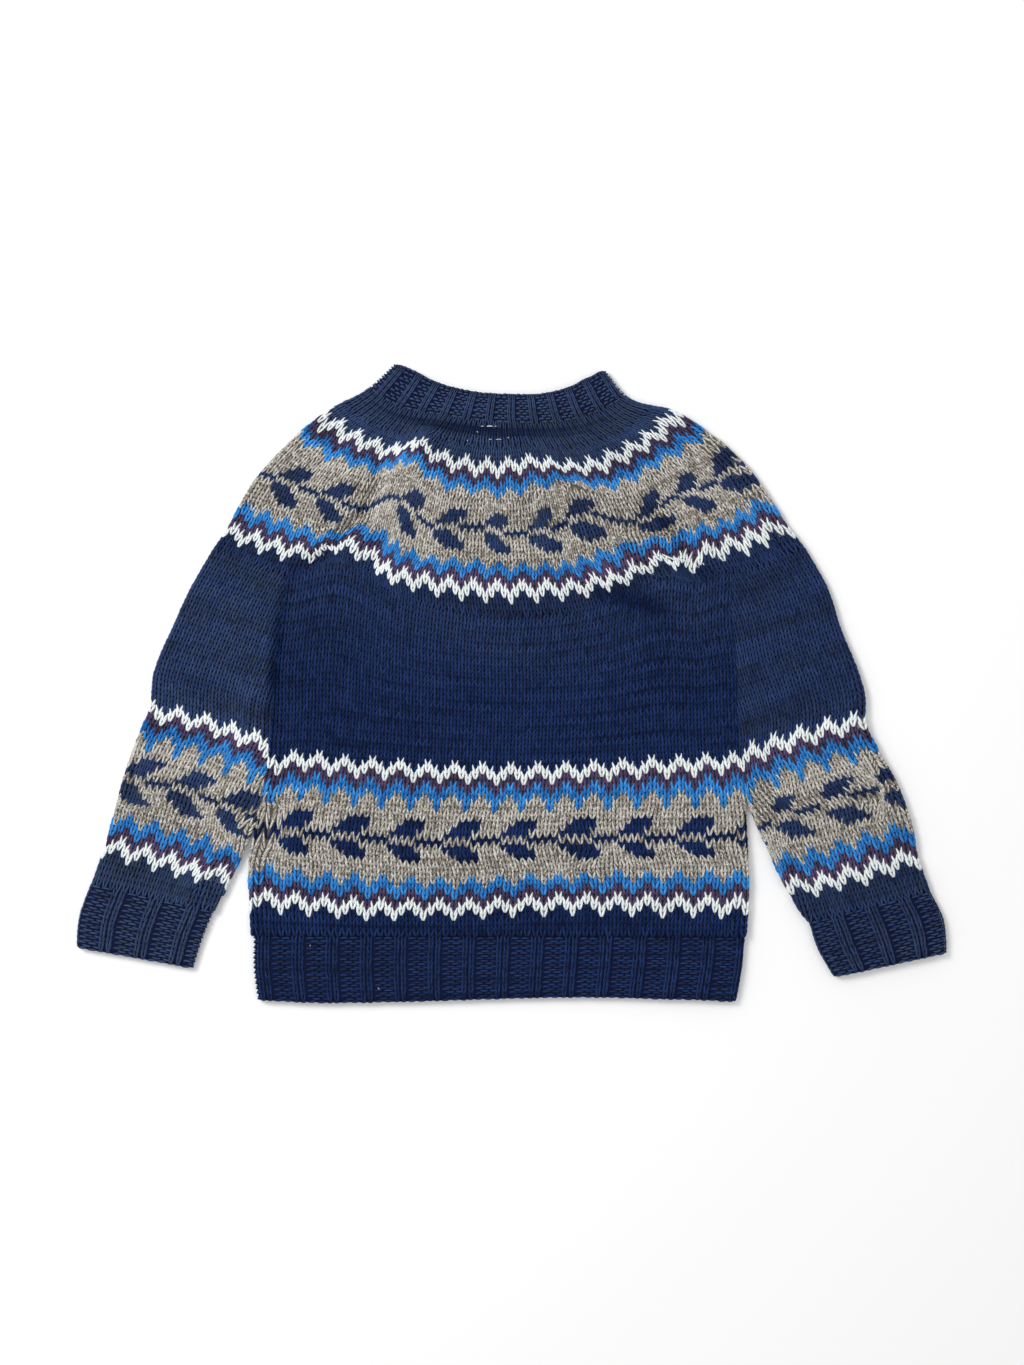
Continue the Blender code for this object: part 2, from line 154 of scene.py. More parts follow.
# ---------------------------------------------------------------- folds in the back
# Lines along which the back stands up (height above 0) or sinks, all in mm.
Fold = namedtuple("Fold", "name half_width height path")
FOLDS = (
    Fold("left yoke crease", 6, -3.2, ((-229, 114), (-203, 131), (-156, 175), (-144, 210), (-137, 245))),
    Fold("lip of the left yoke crease", 6, 2.6,
         ((-224, 131), (-184, 166), (-155, 190), (-150, 222), (-144, 256))),
    Fold("left yoke roll", 12, 3.8, ((-182, 116), (-163, 147), (-124, 190), (-112, 225), (-100, 258))),
    Fold("right yoke roll", 13, 3.8, ((168, 96), (147, 131), (124, 163), (106, 205))),
    Fold("right yoke crease", 6, -3.0, ((213, 109), (187, 122), (163, 160), (134, 192))),
    Fold("neck dimple", 11, -3.1, ((50, 222), (46, 190), (52, 150), (74, 122))),
    Fold("hollow under the neckband", 6, -3.2,
         ((-140, 290), (-117, 278), (-100, 274), (-69, 268), (-7, 261), (50, 262), (73, 266), (94, 274))),
    Fold("neckband's swell", 10, 2.6,
         ((-126, 312), (-100, 301), (-69, 292), (-7, 286), (50, 287), (73, 292), (96, 303))),
    Fold("roll beside the dimple", 12, 3.0, ((30, 214), (22, 176), (30, 134))),
    Fold("right back dent", 17, -1.3, ((100, 92), (140, 84), (158, 44), (150, 11), (188, -16), (222, -10))),
    Fold("right underarm roll", 12, 1.6, ((214, 96), (192, 76), (180, 48))),
    Fold("middle back dent", 18, -1.1, ((-104, 32), (-69, 15), (-43, -18), (40, -10))),
    Fold("middle back roll", 18, 1.1, ((-90, 76), (-33, 44), (19, 18), (92, 3))),
    Fold("lower back dent", 15, -0.9, ((84, -46), (144, -39), (208, -50))),
    Fold("hollow under the right yoke", 10, -2.6, ((84, 92), (112, 90), (140, 84), (166, 74))),
    Fold("groove beside the left sleeve", 7, -3.2,
         ((-233, 106), (-238, 90), (-244, 44), (-250, -18), (-256, -62))),
    Fold("left side crease", 10, -1.0, ((-222, 92), (-190, 50), (-170, 5))),
    Fold("left elbow crease", 10, -1.2, ((-368, 20), (-330, 2), (-290, -6))),
    Fold("right elbow crease", 10, -1.2, ((360, 14), (326, 8), (286, -16))),
)


# ---------------------------------------------------------------- courses
def smooth(knots, values, at):
    """Values at new places on a smooth line through the knots.

    Cubic Hermite pieces join the knots; the slope at a knot is the weighted mean of the slopes of
    the two straight pieces that meet there.
    """
    knots = np.asarray(knots, dtype=float)
    values = np.asarray(values, dtype=float)
    wide = (slice(None),) + (None,) * (values.ndim - 1)
    gaps = np.diff(knots)[wide]
    steps = np.diff(values, axis=0) / gaps
    slopes = np.empty_like(values)
    slopes[0], slopes[-1] = steps[0], steps[-1]
    slopes[1:-1] = (gaps[1:] * steps[:-1] + gaps[:-1] * steps[1:]) / (gaps[1:] + gaps[:-1])
    at = np.asarray(at, dtype=float)
    piece = np.clip(np.searchsorted(knots, at, side="right") - 1, 0, len(knots) - 2)
    span = gaps[piece]
    t = ((at - knots[piece])[wide]) / span
    return ((1 + 2 * t) * (1 - t) ** 2 * values[piece] + t * (1 - t) ** 2 * span * slopes[piece]
            + t ** 2 * (3 - 2 * t) * values[piece + 1] + t ** 2 * (t - 1) * span * slopes[piece + 1])


def lengths(course):
    """Length along a course at each of its points."""
    return np.concatenate([[0.0], np.cumsum(np.linalg.norm(np.diff(course, axis=0), axis=1))])


def even(course):
    """The same course with its points evenly spaced along it."""
    run = lengths(course)
    places = np.linspace(0.0, run[-1], FINE_STEPS + 1)
    return np.column_stack([np.interp(places, run, course[:, k]) for k in (0, 1)])


def through_stations(course, stations):
    """The straight-sided line through a course's stations, at the fine steps."""
    marks = np.linspace(0, len(course) - 1, stations + 1)
    corners = np.column_stack([np.interp(marks, np.arange(len(course)), course[:, k]) for k in (0, 1)])
    fine = np.linspace(0, stations, FINE_STEPS + 1)
    return np.column_stack([np.interp(fine, np.arange(stations + 1), corners[:, k]) for k in (0, 1)])


def bent_line(guide, pattern):
    """A straight line from left to right, with a share of another course's bend and one slow wave."""
    share = np.linspace(0.0, 1.0, FINE_STEPS + 1)[:, None]
    straight = in_metres(guide.left) * (1 - share) + in_metres(guide.right) * share
    bend = pattern - (pattern[0] * (1 - share) + pattern[-1] * share)
    wave = np.sin(2 * np.pi * share) * np.array([0.0, guide.wave * MM])
    return straight + guide.bend * bend + wave


def in_metres(point):
    """A table's X and Y in mm, in metres from the middle of the outline."""
    return np.asarray(point, dtype=float) * MM - np.asarray(OUTLINE_MIDDLE)


def round_guides():
    """Rows and courses of the yoke and neckband, from their table."""
    guides = []
    for guide in ROUND_COURSES:
        points = np.array([in_metres(point) for point in guide[1:]])
        run = lengths(points)
        guides.append(even(smooth(run, points, np.linspace(0.0, run[-1], FINE_STEPS + 1))))
    return np.array([guide.row for guide in ROUND_COURSES]), np.array(guides)


def flat_guides(table, pattern):
    """Rows and courses of a body or sleeve piece, whose bend follows the yoke's first course."""
    courses = [bent_line(guide, pattern) for guide in table]
    return np.array([guide.row for guide in table], dtype=float), np.array(courses)


def seam_part(seam, first, last):
    """The stretch of the yoke's first course between two of its stations, at the fine steps."""
    per_station = FINE_STEPS / YOKE_STATIONS
    places = np.linspace(first * per_station, last * per_station, FINE_STEPS + 1)
    return np.column_stack([np.interp(places, np.arange(len(seam)), seam[:, k]) for k in (0, 1)])


# ---------------------------------------------------------------- heights
PATH_FADE = (0.12, 0.76)    # a fold fades to its ends as this middle part of half a sine wave


def distance_to_path(points, path):
    """Distance from each point to a line through the path's points, and the place along it, 0 to 1."""
    run = lengths(path)
    nearest = np.full(len(points), np.inf)
    place = np.zeros(len(points))
    for start, end, before, after in zip(path[:-1], path[1:], run[:-1], run[1:]):
        along = end - start
        share = np.clip((points - start) @ along / (along @ along), 0.0, 1.0)
        gap = np.linalg.norm(points - start - share[:, None] * along, axis=1)
        closer = gap < nearest
        nearest = np.where(closer, gap, nearest)
        place = np.where(closer, (before + share * (after - before)) / run[-1], place)
    return nearest, place


def laid_top(points):
    """Height of the back above the floor: a level top with a soft wave along each fold.

    A wave is height * exp(-(distance / half width)^2), and fades towards the ends of its path.
    """
    height = np.full(len(points), LAID_HEIGHT)
    for fold in FOLDS:
        path = np.array([in_metres(point) for point in fold.path])
        gap, place = distance_to_path(points, path)
        fading = np.sin(np.pi * (PATH_FADE[0] + PATH_FADE[1] * place))
        height += fold.height * MM * fading * np.exp(-(gap / (fold.half_width * MM)) ** 2)
    return height


# ---------------------------------------------------------------- tubes
# A tube of knitting: its rows from first to last, how far its side folds stand in from the ends of
# its courses, its back's points (rows half a row apart, from one row before the first to one after
# the last; X, Y and height in metres) and the length of each of those courses.
Tube = namedtuple("Tube", "name first last insets grid run")


def knitted_tube(name, guides, first, last, insets=(0.0, 0.0)):
    """A tube from first to last row, its courses carried smoothly between the guides."""
    rows = np.arange(2 * first - 2, 2 * last + 3) / 2
    plan = smooth(guides[0], guides[1], rows)
    height = laid_top(plan.reshape(-1, 2)).reshape(len(rows), -1, 1)
    run = np.linalg.norm(np.diff(plan, axis=1), axis=2).sum(axis=1)
    return Tube(name, first, last, insets, np.concatenate([plan, height], axis=2), run)


def all_tubes():
    """The eight pieces' tubes, whose courses meet at the seams."""
    rounds = round_guides()
    seam = through_stations(rounds[1][0], YOKE_STATIONS)
    left_end, right_end = SLEEVE_STATIONS, SLEEVE_STATIONS + BODY_STATIONS
    left_seam = seam_part(seam, 0, left_end)
    body_seam = seam_part(seam, left_end, right_end)
    right_seam = seam_part(seam, right_end, YOKE_STATIONS)
    body_guides = flat_guides(BODY_COURSES, body_seam)
    left_guides = flat_guides(SLEEVE_LEFT_COURSES, left_seam)
    right_guides = flat_guides(SLEEVE_RIGHT_COURSES, right_seam)
    for guides, course in ((body_guides, body_seam), (left_guides, left_seam), (right_guides, right_seam)):
        guides[1][-1] = course
    made = (
        knitted_tube("hem_rib", flat_guides(HEM_COURSES, body_seam), -12, 0),
        knitted_tube("body", body_guides, 0, BODY_CAST_ON, (SIDE_INSET, SIDE_INSET)),
        knitted_tube("yoke", rounds, 0, YOKE_ROWS),
        knitted_tube("neckband", rounds, YOKE_ROWS, ROUND_COURSES[-1].row),
        knitted_tube("sleeve_left", left_guides, 0, SLEEVE_ROWS, (0.0, SIDE_INSET)),
        knitted_tube("sleeve_right", right_guides, 0, SLEEVE_ROWS, (SIDE_INSET, 0.0)),
        knitted_tube("cuff_left", flat_guides(CUFF_LEFT_COURSES, left_seam), -11, 0),
        knitted_tube("cuff_right", flat_guides(CUFF_RIGHT_COURSES, right_seam), -11, 0),
    )
    tubes = {tube.name: tube for tube in made}
    for part in ("yoke_vine", "yoke_top"):      # the same cloth between and above the decreases
        tubes[part] = tubes["yoke"]._replace(name=part)
    return tubes


def grid_place(tube, row):
    """Where a row stands among the grid's courses, counted from 0."""
    return np.clip((row - tube.first) * 2 + 2, 0, len(tube.grid) - 1)


def run_at(tube, row):
    """Length in metres of the course at a row."""
    return np.interp(grid_place(tube, row), np.arange(len(tube.run)), tube.run)


def width_at(tube, row):
    """Length of cloth over the back from one fold's tip to the other's."""
    return run_at(tube, row) - sum(tube.insets) + 2 * (FOLD_TURN - FOLD_REACH)


def spot(tube, across, row):
    """A place on the cloth's face: across in metres over the back from the left fold's tip.

    Below 0 the place is under the garment, as far from the tip.  Each side fold is a quarter of an
    ellipse up to the back and another down to the front; between the folds the back keeps the laid
    height and the front lies on the floor.  Past a course's end the cloth runs on straight.
    """
    run, width = run_at(tube, row), width_at(tube, row)
    off = np.abs(across)
    side = np.where(across < 0, -1.0, 1.0)
    left_turn = np.clip(off / FOLD_TURN, 0, 1) * np.pi / 2
    right_turn = np.clip((width - off) / FOLD_TURN, 0, 1) * np.pi / 2
    along = np.where(off < FOLD_TURN, tube.insets[0] + FOLD_REACH * (1 - np.cos(left_turn)),
                     np.where(width - off < FOLD_TURN,
                              run - tube.insets[1] - FOLD_REACH * (1 - np.cos(right_turn)),
                              tube.insets[0] + FOLD_REACH + off - FOLD_TURN))
    i, j = grid_place(tube, row), along / run * FINE_STEPS
    i0 = np.minimum(i.astype(int), len(tube.grid) - 2)
    j0 = np.clip(j.astype(int), 0, FINE_STEPS - 1)
    up, over = (i - i0)[..., None], (j - j0)[..., None]
    below = tube.grid[i0, j0] * (1 - over) + tube.grid[i0, j0 + 1] * over
    above = tube.grid[i0 + 1, j0] * (1 - over) + tube.grid[i0 + 1, j0 + 1] * over
    place = below * (1 - up) + above * up
    middle = place[..., 2] / 2
    height = middle + side * middle * np.sin(np.minimum(left_turn, right_turn))
    return np.stack([place[..., 0], place[..., 1], height], axis=-1)


# ---------------------------------------------------------------- how the rows and wales run
# How far the cloth has shifted from an even count, at shares of the width.  In each line of rise and
# slip a row comes first, then at each share the tenths of a row that the cloth rides up there, or
# the tenths of a mm that it slips to the right.  These numbers were worked out by a matching
# program and not chosen by hand.
Shift = namedtuple("Shift", "shares rise slip")
BODY_SHARES = (0, 0.03, 0.08, 0.14, 0.2, 0.26, 0.32, 0.38, 0.44, 0.5, 0.56, 0.62, 0.68, 0.74, 0.8, 0.86,
               0.92, 0.97, 1)
YOKE_SHARES = (0, 0.03, 0.08, 0.13, 0.18, 0.22, 0.26, 0.31, 0.36, 0.41, 0.46, 0.52, 0.57, 0.61, 0.66, 0.7,
               0.74, 0.78, 0.83, 0.88, 0.93, 0.97, 1)
SLEEVE_SHARES = (0, 0.08, 0.2, 0.35, 0.5, 0.65, 0.8, 0.92, 1)
SHIFTS = {
    "body": Shift(
        BODY_SHARES,
        ((0, -1, -1, -1, -1, -1, -1, -1, -1, -1, -1, -1, -1, -1, -1, -1, -1, -1, -1, -1),
         (4, 14, 14, 10, 5, 0, -3, -1, -2, -1, 2, 7, 8, 10, 7, 6, 4, 6, -1, -1),
         (8, 16, 16, 12, 6, 2, -1, -3, -3, -3, 0, 6, 8, 9, 8, 9, 6, 7, 7, 7),
         (12, 25, 25, 16, 12, 9, 4, 0, -2, -2, 2, 6, 3, 7, 13, 9, 12, 12, 12, 12),
         (16, 5, 5, 13, 9, 6, 2, -3, -4, -3, 2, 1, 5, 1, 7, 3, 6, 5, 9, 9),
         (20, 38, 38, 24, 20, 14, 10, 6, 2, 4, 5, 5, 7, 10, 8, 11, 11, 11, 15, 15),
         (24, 9, 9, 21, 13, 10, 5, 3, 3, 1, -2, 1, 0, 5, 4, 6, 6, 7, 9, 9),
         (29, 23, 23, 26, 18, 13, 10, 5, 2, 1, -1, 1, 2, 4, 8, 12, 14, 18, 21, 21),
         (45, 6, 5, 5, 4, 2, 2, 1, 0, -1, -1, -1, -1, 0, 1, 2, 3, 4, 4, 4)),
        ((4, 0, 38, 19, 6, 0, -19, -36, -36, -27, -38, -33, -9, -47, -33, -35, -10, -19, -46, 0),
         (8, 0, 67, 45, 39, 25, 1, -8, -18, -19, -37, -12, -28, -38, -22, -27, -12, -20, -20, 0),
         (12, 0, 73, 40, 72, 38, 20, -2, -10, 16, 0, -5, -21, -84, -8, -12, -10, 13, -10, 0),
         (16, 0, 108, 18, 13, -4, 0, -33, -46, -64, -55, -88, -82, 31, -47, -81, -40, -68, -48, 0),
         (20, 0, 91, 10, 7, -5, 19, -21, -24, -56, -35, -71, -56, -64, -33, -81, -47, -25, -22, 0),
         (24, 0, 32, 40, 2, 11, -12, 4, -31, -11, -15, -42, -37, -35, -25, -18, -12, -12, -16, 0),
         (29, 0, 50, 28, 6, -6, 2, 7, -9, -6, -1, -5, -6, -4, 10, 30, 29, 18, 13, 0),
         (45, 0, 0, 0, 0, 0, 0, 0, 0, 0, 0, 0, 0, 0, 0, 0, 0, 0, 0, 0)),
    ),
    "yoke": Shift(
        YOKE_SHARES,
        ((0, 0, 0, 0, 0, 0, 0, 0, 0, 0, 0, 0, 0, 0, 0, 0, 0, 0, 0, 0, 0, 0, 0, 0),
         (2.5, 4, 4, 2, 6, 4, -8, -12, -12, -5, -1, 1, 3, 2, -3, -3, -6, -11, 2, 6, -2, 1, 4, 4),
         (5.5, 5, 5, 2, 7, 2, -11, -15, -15, -5, 0, 3, 4, 3, -6, -6, -11, -14, 2, 10, -5, -1, 5, 5),
         (9, 10, 10, 4, 2, -3, -13, -12, -14, -8, 2, 6, 0, 0, -7, 3, 12, 22, 16, 10, -15, -5, 4, 4),
         (12, 6, 6, 2, 3, 1, -21, -9, -15, -15, -1, -1, -1, 1, 4, 15, 28, 10, -1, 10, -11, -3, 5, 5)),
        ((2.5, 0, 21, -16, -34, 83, 25, 63, -35, -56, -45, -46, -35, -18, -22, -9, -85, -97, -25, -130,
          -18, -25, -75, 0),
         (5.5, 0, 22, -14, -32, -28, 65, 107, -6, -43, -31, -32, -23, -4, -18, -16, -99, -103, -54, 14,
          5, -22, -65, 0),
         (9, 0, 26, -11, -25, 6, 136, 166, 61, 33, 4, 19, 12, 29, -20, -94, -123, -78, 29, 100, 32, -8,
          -48, 0)),
    ),
    "yoke_vine": Shift(
        YOKE_SHARES,
        ((10, 9, 9, 3, 2, -1, -16, -11, -14, -10, 1, 4, 0, 0, -3, 7, 17, 18, 11, 10, -14, -5, 5, 5),
         (13.5, 4, 4, 1, 3, 3, -25, -8, -15, -18, -2, -4, -1, 2, 9, 21, 35, 4, -10, 10, -8, -2, 6, 6),
         (17.5, 1, 1, 0, -1, 7, 5, -3, -13, -18, 2, 12, -4, 3, 12, 30, 37, 12, -10, 6, 0, -2, 1, 1),
         (22, 8, 7, 0, 13, 14, 12, 4, 1, -1, -1, 6, -3, 11, 25, 40, 23, 13, 4, -2, 4, 3, 5, 4)),
        ((13.5, 0, 32, 33, 16, 25, 168, 100, 13, -5, -13, 33, -32, -11, 4, -76, -21, -74, 16, 74, 5,
          -39, -90, 0),
         (17.5, 0, 6, 14, 4, -14, 84, 109, 30, 4, -12, 35, -42, -6, -41, -88, -46, 8, 46, 30, -2, -40,
          -75, 0)),
    ),
    "yoke_top": Shift(
        YOKE_SHARES,
        ((22, 8, 7, 0, 13, 14, 12, 4, 1, -1, -1, 6, -3, 11, 25, 40, 23, 13, 4, -2, 4, 3, 5, 4),
         (26.5, -6, -6, 2, 6, 3, -4, -2, -1, -6, -5, -6, -6, 8, 15, 15, 7, -3, -5, -6, -1, -2, -1, -1),
         (30, -3, -3, 1, 7, 3, -8, -5, 0, -4, -4, -7, -5, 7, 9, 0, -3, -5, -6, -7, -5, 0, 6, 6),
         (38, 0, 0, 0, 0, 0, 0, 0, 0, 0, 0, 0, 0, 0, 0, 0, 0, 0, 0, 0, 0, 0, 0, 0)),
        ((22, 0, 55, 79, 69, 72, 48, 2, -100, -61, -68, -53, -33, -56, 3, 67, 11, -52, -86, -91, -75,
          -67, -66, 0),
         (26.5, 0, 40, 50, 28, 44, 18, -13, -82, -58, -56, -35, -44, -34, 1, 7, -21, -46, -54, -44, -38,
          -47, -35, 0),
         (30, 0, 5, 0, -11, 13, 25, 30, -122, -54, -44, -35, -34, -12, 17, -3, -8, -22, -28, -14, -10,
          -13, 37, 0),
         (38, 0, 0, 0, 0, 0, 0, 0, 0, 0, 0, 0, 0, 0, 0, 0, 0, 0, 0, 0, 0, 0, 0, 0)),
    ),
    "sleeve_left": Shift(
        SLEEVE_SHARES,
        ((0, 0, 0, 0, 0, 0, 0, 0, 0, 0),
         (4.5, 7, 7, 6, 6, 6, 3, 4, 3, 3),
         (9, 6, 6, 6, 5, 4, 0, 0, 3, 3),
         (13, 4, 4, 6, 10, 7, 13, 1, -4, -4),
         (17, -13, -13, -8, 2, -3, -2, -8, -14, -14),
         (21, 0, 0, 0, 5, 4, -1, -4, -8, -8),
         (25, 5, 5, 9, 10, 11, 7, 9, 4, 4),
         (30, -1, -1, 3, 5, 6, 5, 2, -1, -1),
         (45, -1, 0, 0, 0, 0, 0, 0, 0, 0)),
        ((4.5, 0, -17, -10, 10, 3, -21, -68, -8, 0),
         (9, 0, 15, 0, 6, 19, 5, -11, 25, 0),
         (13, 0, -7, -4, -18, 16, 17, 4, -35, 0),
         (17, 0, 31, 11, -24, 53, -11, -43, -61, 0),
         (21, 0, 27, -26, 5, -7, -23, -53, -1, 0),
         (25, 0, 4, 11, 23, 8, 2, -20, -28, 0),
         (30, 0, 34, 18, 16, 32, 31, -29, -10, 0),
         (45, 0, 0, 0, 0, 0, 0, 0, 0, 0)),
    ),
    "sleeve_right": Shift(
        SLEEVE_SHARES,
        ((0, 0, 0, 0, 0, 0, 0, 0, 0, 0),
         (4.5, 2, 2, -3, -1, -4, -5, 0, 0, 0),
         (9, 3, 3, -5, -5, -2, -1, -1, 0, 0),
         (13, 6, 6, 4, 0, -2, 2, 1, 3, 3),
         (17, -11, -11, 3, -6, -1, -4, -5, 1, 1),
         (21, -17, -17, 0, -7, -5, 1, -4, -3, -3),
         (25, -16, -16, 0, 2, 3, 4, 5, -7, -7),
         (30, 5, 5, 7, 8, 8, 7, 5, -2, -2),
         (45, 0, 0, 0, 0, 0, 0, 0, 0, 0)),
        ((4.5, 0, 33, 34, 0, -8, -13, -8, -23, 0),
         (9, 0, -25, 0, -25, -18, -23, -10, -30, 0),
         (13, 0, -37, -80, -41, -36, -42, -61, -46, 0),
         (17, 0, -34, -6, -9, 8, 9, 78, -47, 0),
         (21, 0, -69, -1, -72, -33, -29, -5, -58, 0),
         (25, 0, -83, 7, 34, 14, -11, -44, -42, 0),
         (30, 0, 16, 14, 36, 6, 7, -29, -51, 0),
         (45, 0, 0, 0, 0, 0, 0, 0, 0, 0)),
    ),
}

# Where the middle of a wale stands at some rows: wales of the table, and for each row of the table
# its distance in mm from the fold that the sleeve's wales are counted from.
Wales = namedtuple("Wales", "rows wales table")
SLEEVE_LEFT_WALES = Wales(
    (6, 31, 60), (-5, 3, 7, 11, 15, 19, 23),
    ((-34.8, 18.4, 45.0, 71.6, 98.2, 124.9, 151.5),
     (-32.8, 25.5, 54.6, 83.7, 112.8, 142.0, 171.1),
     (-29.7, 23.1, 49.5, 75.9, 102.3, 128.7, 155.1)),
)
SLEEVE_RIGHT_WALES = Wales(
    (6, 31, 60), (-7, 1, 5, 9, 13, 17, 25),
    ((-47.3, 10.9, 40.0, 69.2, 98.3, 125.9, 180.0),
     (-51.7, 13.1, 45.6, 77.8, 107.1, 129.0, 172.8),
     (-42.9, 9.9, 36.3, 62.7, 89.1, 115.5, 168.3)),
)
YOKE_DECREASES = (10, 22, 33)       # the rows of the yoke's three decreases
BODY_FIRST_ROW = 0.886      # where the body's first stitches stand, in rows of its tube
BODY_ROW_STEP = 0.979       # how far apart its stitches' rows stand
BODY_PLAIN = 33             # rows of its stitches up to the plain part
# The body's middle wale and the width of a wale, as shares of the course, at two of its rows.
BODY_PITCH_ROWS = (5, 31)
BODY_MIDDLES = (0.5038, 0.5015)
BODY_PITCHES = (0.01503, 0.014724)
BODY_WALES = np.arange(-34, 35)     # wales over the body's back
BODY_UNDER = 68             # wales along the body's front
SLEEVE_UNDER = 24           # wales along a sleeve's front, before those past its fold are left out


def shifts(tube, share, row):
    """Rows that the cloth rides up and metres it slips right, between the table's places."""
    if tube.name not in SHIFTS:
        return 0.0, 0.0
    shares = SHIFTS[tube.name].shares
    share, row = np.broadcast_arrays(np.abs(share), row)
    j = np.interp(share, shares, np.arange(len(shares)))
    j0 = np.minimum(j.astype(int), len(shares) - 2)
    over = j - j0
    both = []
    for lines in (SHIFTS[tube.name].rise, SHIFTS[tube.name].slip):
        rows, table = np.array(lines)[:, 0], np.array(lines)[:, 1:]
        i = np.interp(row, rows, np.arange(len(rows)))
        i0 = np.minimum(i.astype(int), len(rows) - 2)
        up = i - i0
        low = table[i0, j0] * (1 - over) + table[i0, j0 + 1] * over
        high = table[i0 + 1, j0] * (1 - over) + table[i0 + 1, j0 + 1] * over
        both.append(low * (1 - up) + high * up)
    return both[0] / 10, both[1] / 10 * MM


def moved(tube, share, row):
    """Where a share of the width and a row come to lie on the cloth once it has shifted."""
    rise, slip = shifts(tube, share, row)
    return share + np.sign(share) * slip / width_at(tube, row), row + rise


def unmoved(tube, share, row):
    """The share and row that come to lie at a place: three steps of correcting a first guess."""
    first_share, first_row = share, row
    for _ in range(3):
        there_share, there_row = moved(tube, first_share, first_row)
        first_share, first_row = first_share + share - there_share, first_row + row - there_row
    return first_share, first_row


def table_across(table, wale, row):
    """Distance in metres from the counting fold, straight lines between the table's places."""
    rows, wales, lines = table
    step = [(line[1] - line[0]) / (wales[1] - wales[0]) for line in lines]
    inside = np.stack([np.interp(wale, wales, line) for line in lines], axis=-1)
    before = np.stack([np.minimum(wale - wales[0], 0) * slope for slope in step], axis=-1)
    lines = inside + before
    place = np.interp(row, rows, np.arange(len(rows)))
    low = np.minimum(place.astype(int), len(rows) - 2)
    up = place - low
    at_low = np.take_along_axis(lines, low[..., None], axis=-1)[..., 0]
    at_high = np.take_along_axis(lines, low[..., None] + 1, axis=-1)[..., 0]
    return (at_low * (1 - up) + at_high * up) * MM


def body_across(tube, wale, row):
    """Wales of the body's back, counted from its middle, where they stand a little wider at the hem."""
    middle = np.interp(row, BODY_PITCH_ROWS, BODY_MIDDLES)
    pitch = np.interp(row, BODY_PITCH_ROWS, BODY_PITCHES)
    return (middle + pitch * wale) * run_at(tube, row) - tube.insets[0] - FOLD_REACH + FOLD_TURN


def even_back(count, first=0.5):
    """Wales spread evenly over the back, the first of them this part of a wale from the left fold's tip."""
    def across(tube, wale, row):
        return (wale + first) / count * width_at(tube, row)
    return across


def sleeve_left_across(tube, wale, row):
    """Wales of the left sleeve's back, counted from its left fold."""
    return table_across(SLEEVE_LEFT_WALES, wale, row)


def sleeve_right_across(tube, wale, row):
    """As on the left sleeve, but counted from the right fold."""
    return width_at(tube, row) - table_across(SLEEVE_RIGHT_WALES, wale, row)


def even_under(count):
    """Wales spread evenly along the front, from the left fold's tip to the right one's."""
    def across(tube, wale, row):
        return -(wale + 0.5) / count * width_at(tube, row)
    return across


def sleeve_under(tube, wale, row):
    """Wales of a fixed width along a sleeve's front, from its left fold's tip."""
    return -(wale + 0.5) * UNDER_PITCH + 0.0 * row


def from_pair(tube, wale):
    """How many wales right of the middle of the nearest knit pair of a two-and-two rib: -2 to 2."""
    return (wale - RIB_FIRST[tube.name] + 2) % 4 - 2


def rib_across(count):
    """A rib's wales: the two of a knit pair draw together, and the purl wales between spread."""
    def across(tube, wale, row):
        place = np.asarray(wale, dtype=float)
        turn = from_pair(tube, place)
        squeezed = np.where(np.abs(turn) <= 1, turn * PAIR_WIDTH,
                            np.sign(turn) * (PAIR_WIDTH + (np.abs(turn) - 1) * (2 - PAIR_WIDTH)))
        return (place - turn + squeezed) / count * width_at(tube, row)
    return across


def on_face(tube, share, row, lift):
    """Places and outward normals on the cloth, lifted by lift metres off its face.

    share is the share of the width over the back, below 0 on the front.  The normal is the cross
    product of two short steps, one to the right and one up.
    """
    def at(share_here, row_here):
        return spot(tube, share_here * width_at(tube, row_here), row_here)

    share, row = np.broadcast_arrays(np.asarray(share, dtype=float), np.asarray(row, dtype=float))
    step = 2 * MM / width_at(tube, row)
    over = at(share + step, row) - at(share - step, row)
    upward = at(share, row + 0.3) - at(share, row - 0.3)
    normal = np.cross(over, upward)
    normal /= np.maximum(np.linalg.norm(normal, axis=-1, keepdims=True), 1e-12)
    return at(share, row) + normal * np.asarray(lift)[..., None], normal


def cloth(tube, across_of, wale, row, lift):
    """Places and outward normals where a wale crosses a row of the shifted cloth."""
    wale, row = np.broadcast_arrays(np.asarray(wale, dtype=float), np.asarray(row, dtype=float))
    share = across_of(tube, wale, row) / width_at(tube, row)
    return on_face(tube, *moved(tube, share, row), lift)


# ---------------------------------------------------------------- the pattern
NAVY, CREAM, PLUM, BLUE, TWEED = range(5)
COLOURS = ("navy", "cream", "plum", "blue", "tweed")
YARNS = [colour + "_yarn" for colour in COLOURS]
SHADED_FLOATS = [colour + "_float" for colour in COLOURS]      # the strands behind, seen between the legs, in darker dyes: painted shade

# The patterned band, counted down from its first row: zigzags of two rows of cream, two of plum
# and two of blue, a leafy vine in navy on tweed, and the zigzags again in the other order.
UPPER_ZIGZAG = np.array((1, 0, 1, 2))       # rows that each wale's zigzag starts lower
LOWER_ZIGZAG = np.array((0, 1, 2, 1))
LOWER_START = 21
# The vine repeats every eight wales: its first row in the band, how many rows of zigzag come over
# it where that is lowest, and its own rows from the top.  The knitter worked it a little
# differently in each piece.
Vine = namedtuple("Vine", "first drip rows")


def vine(first, drip, *lines):
    """A vine charted in lines, N for navy."""
    return Vine(first, drip, np.array([[mark == "N" for mark in line] for line in lines]))


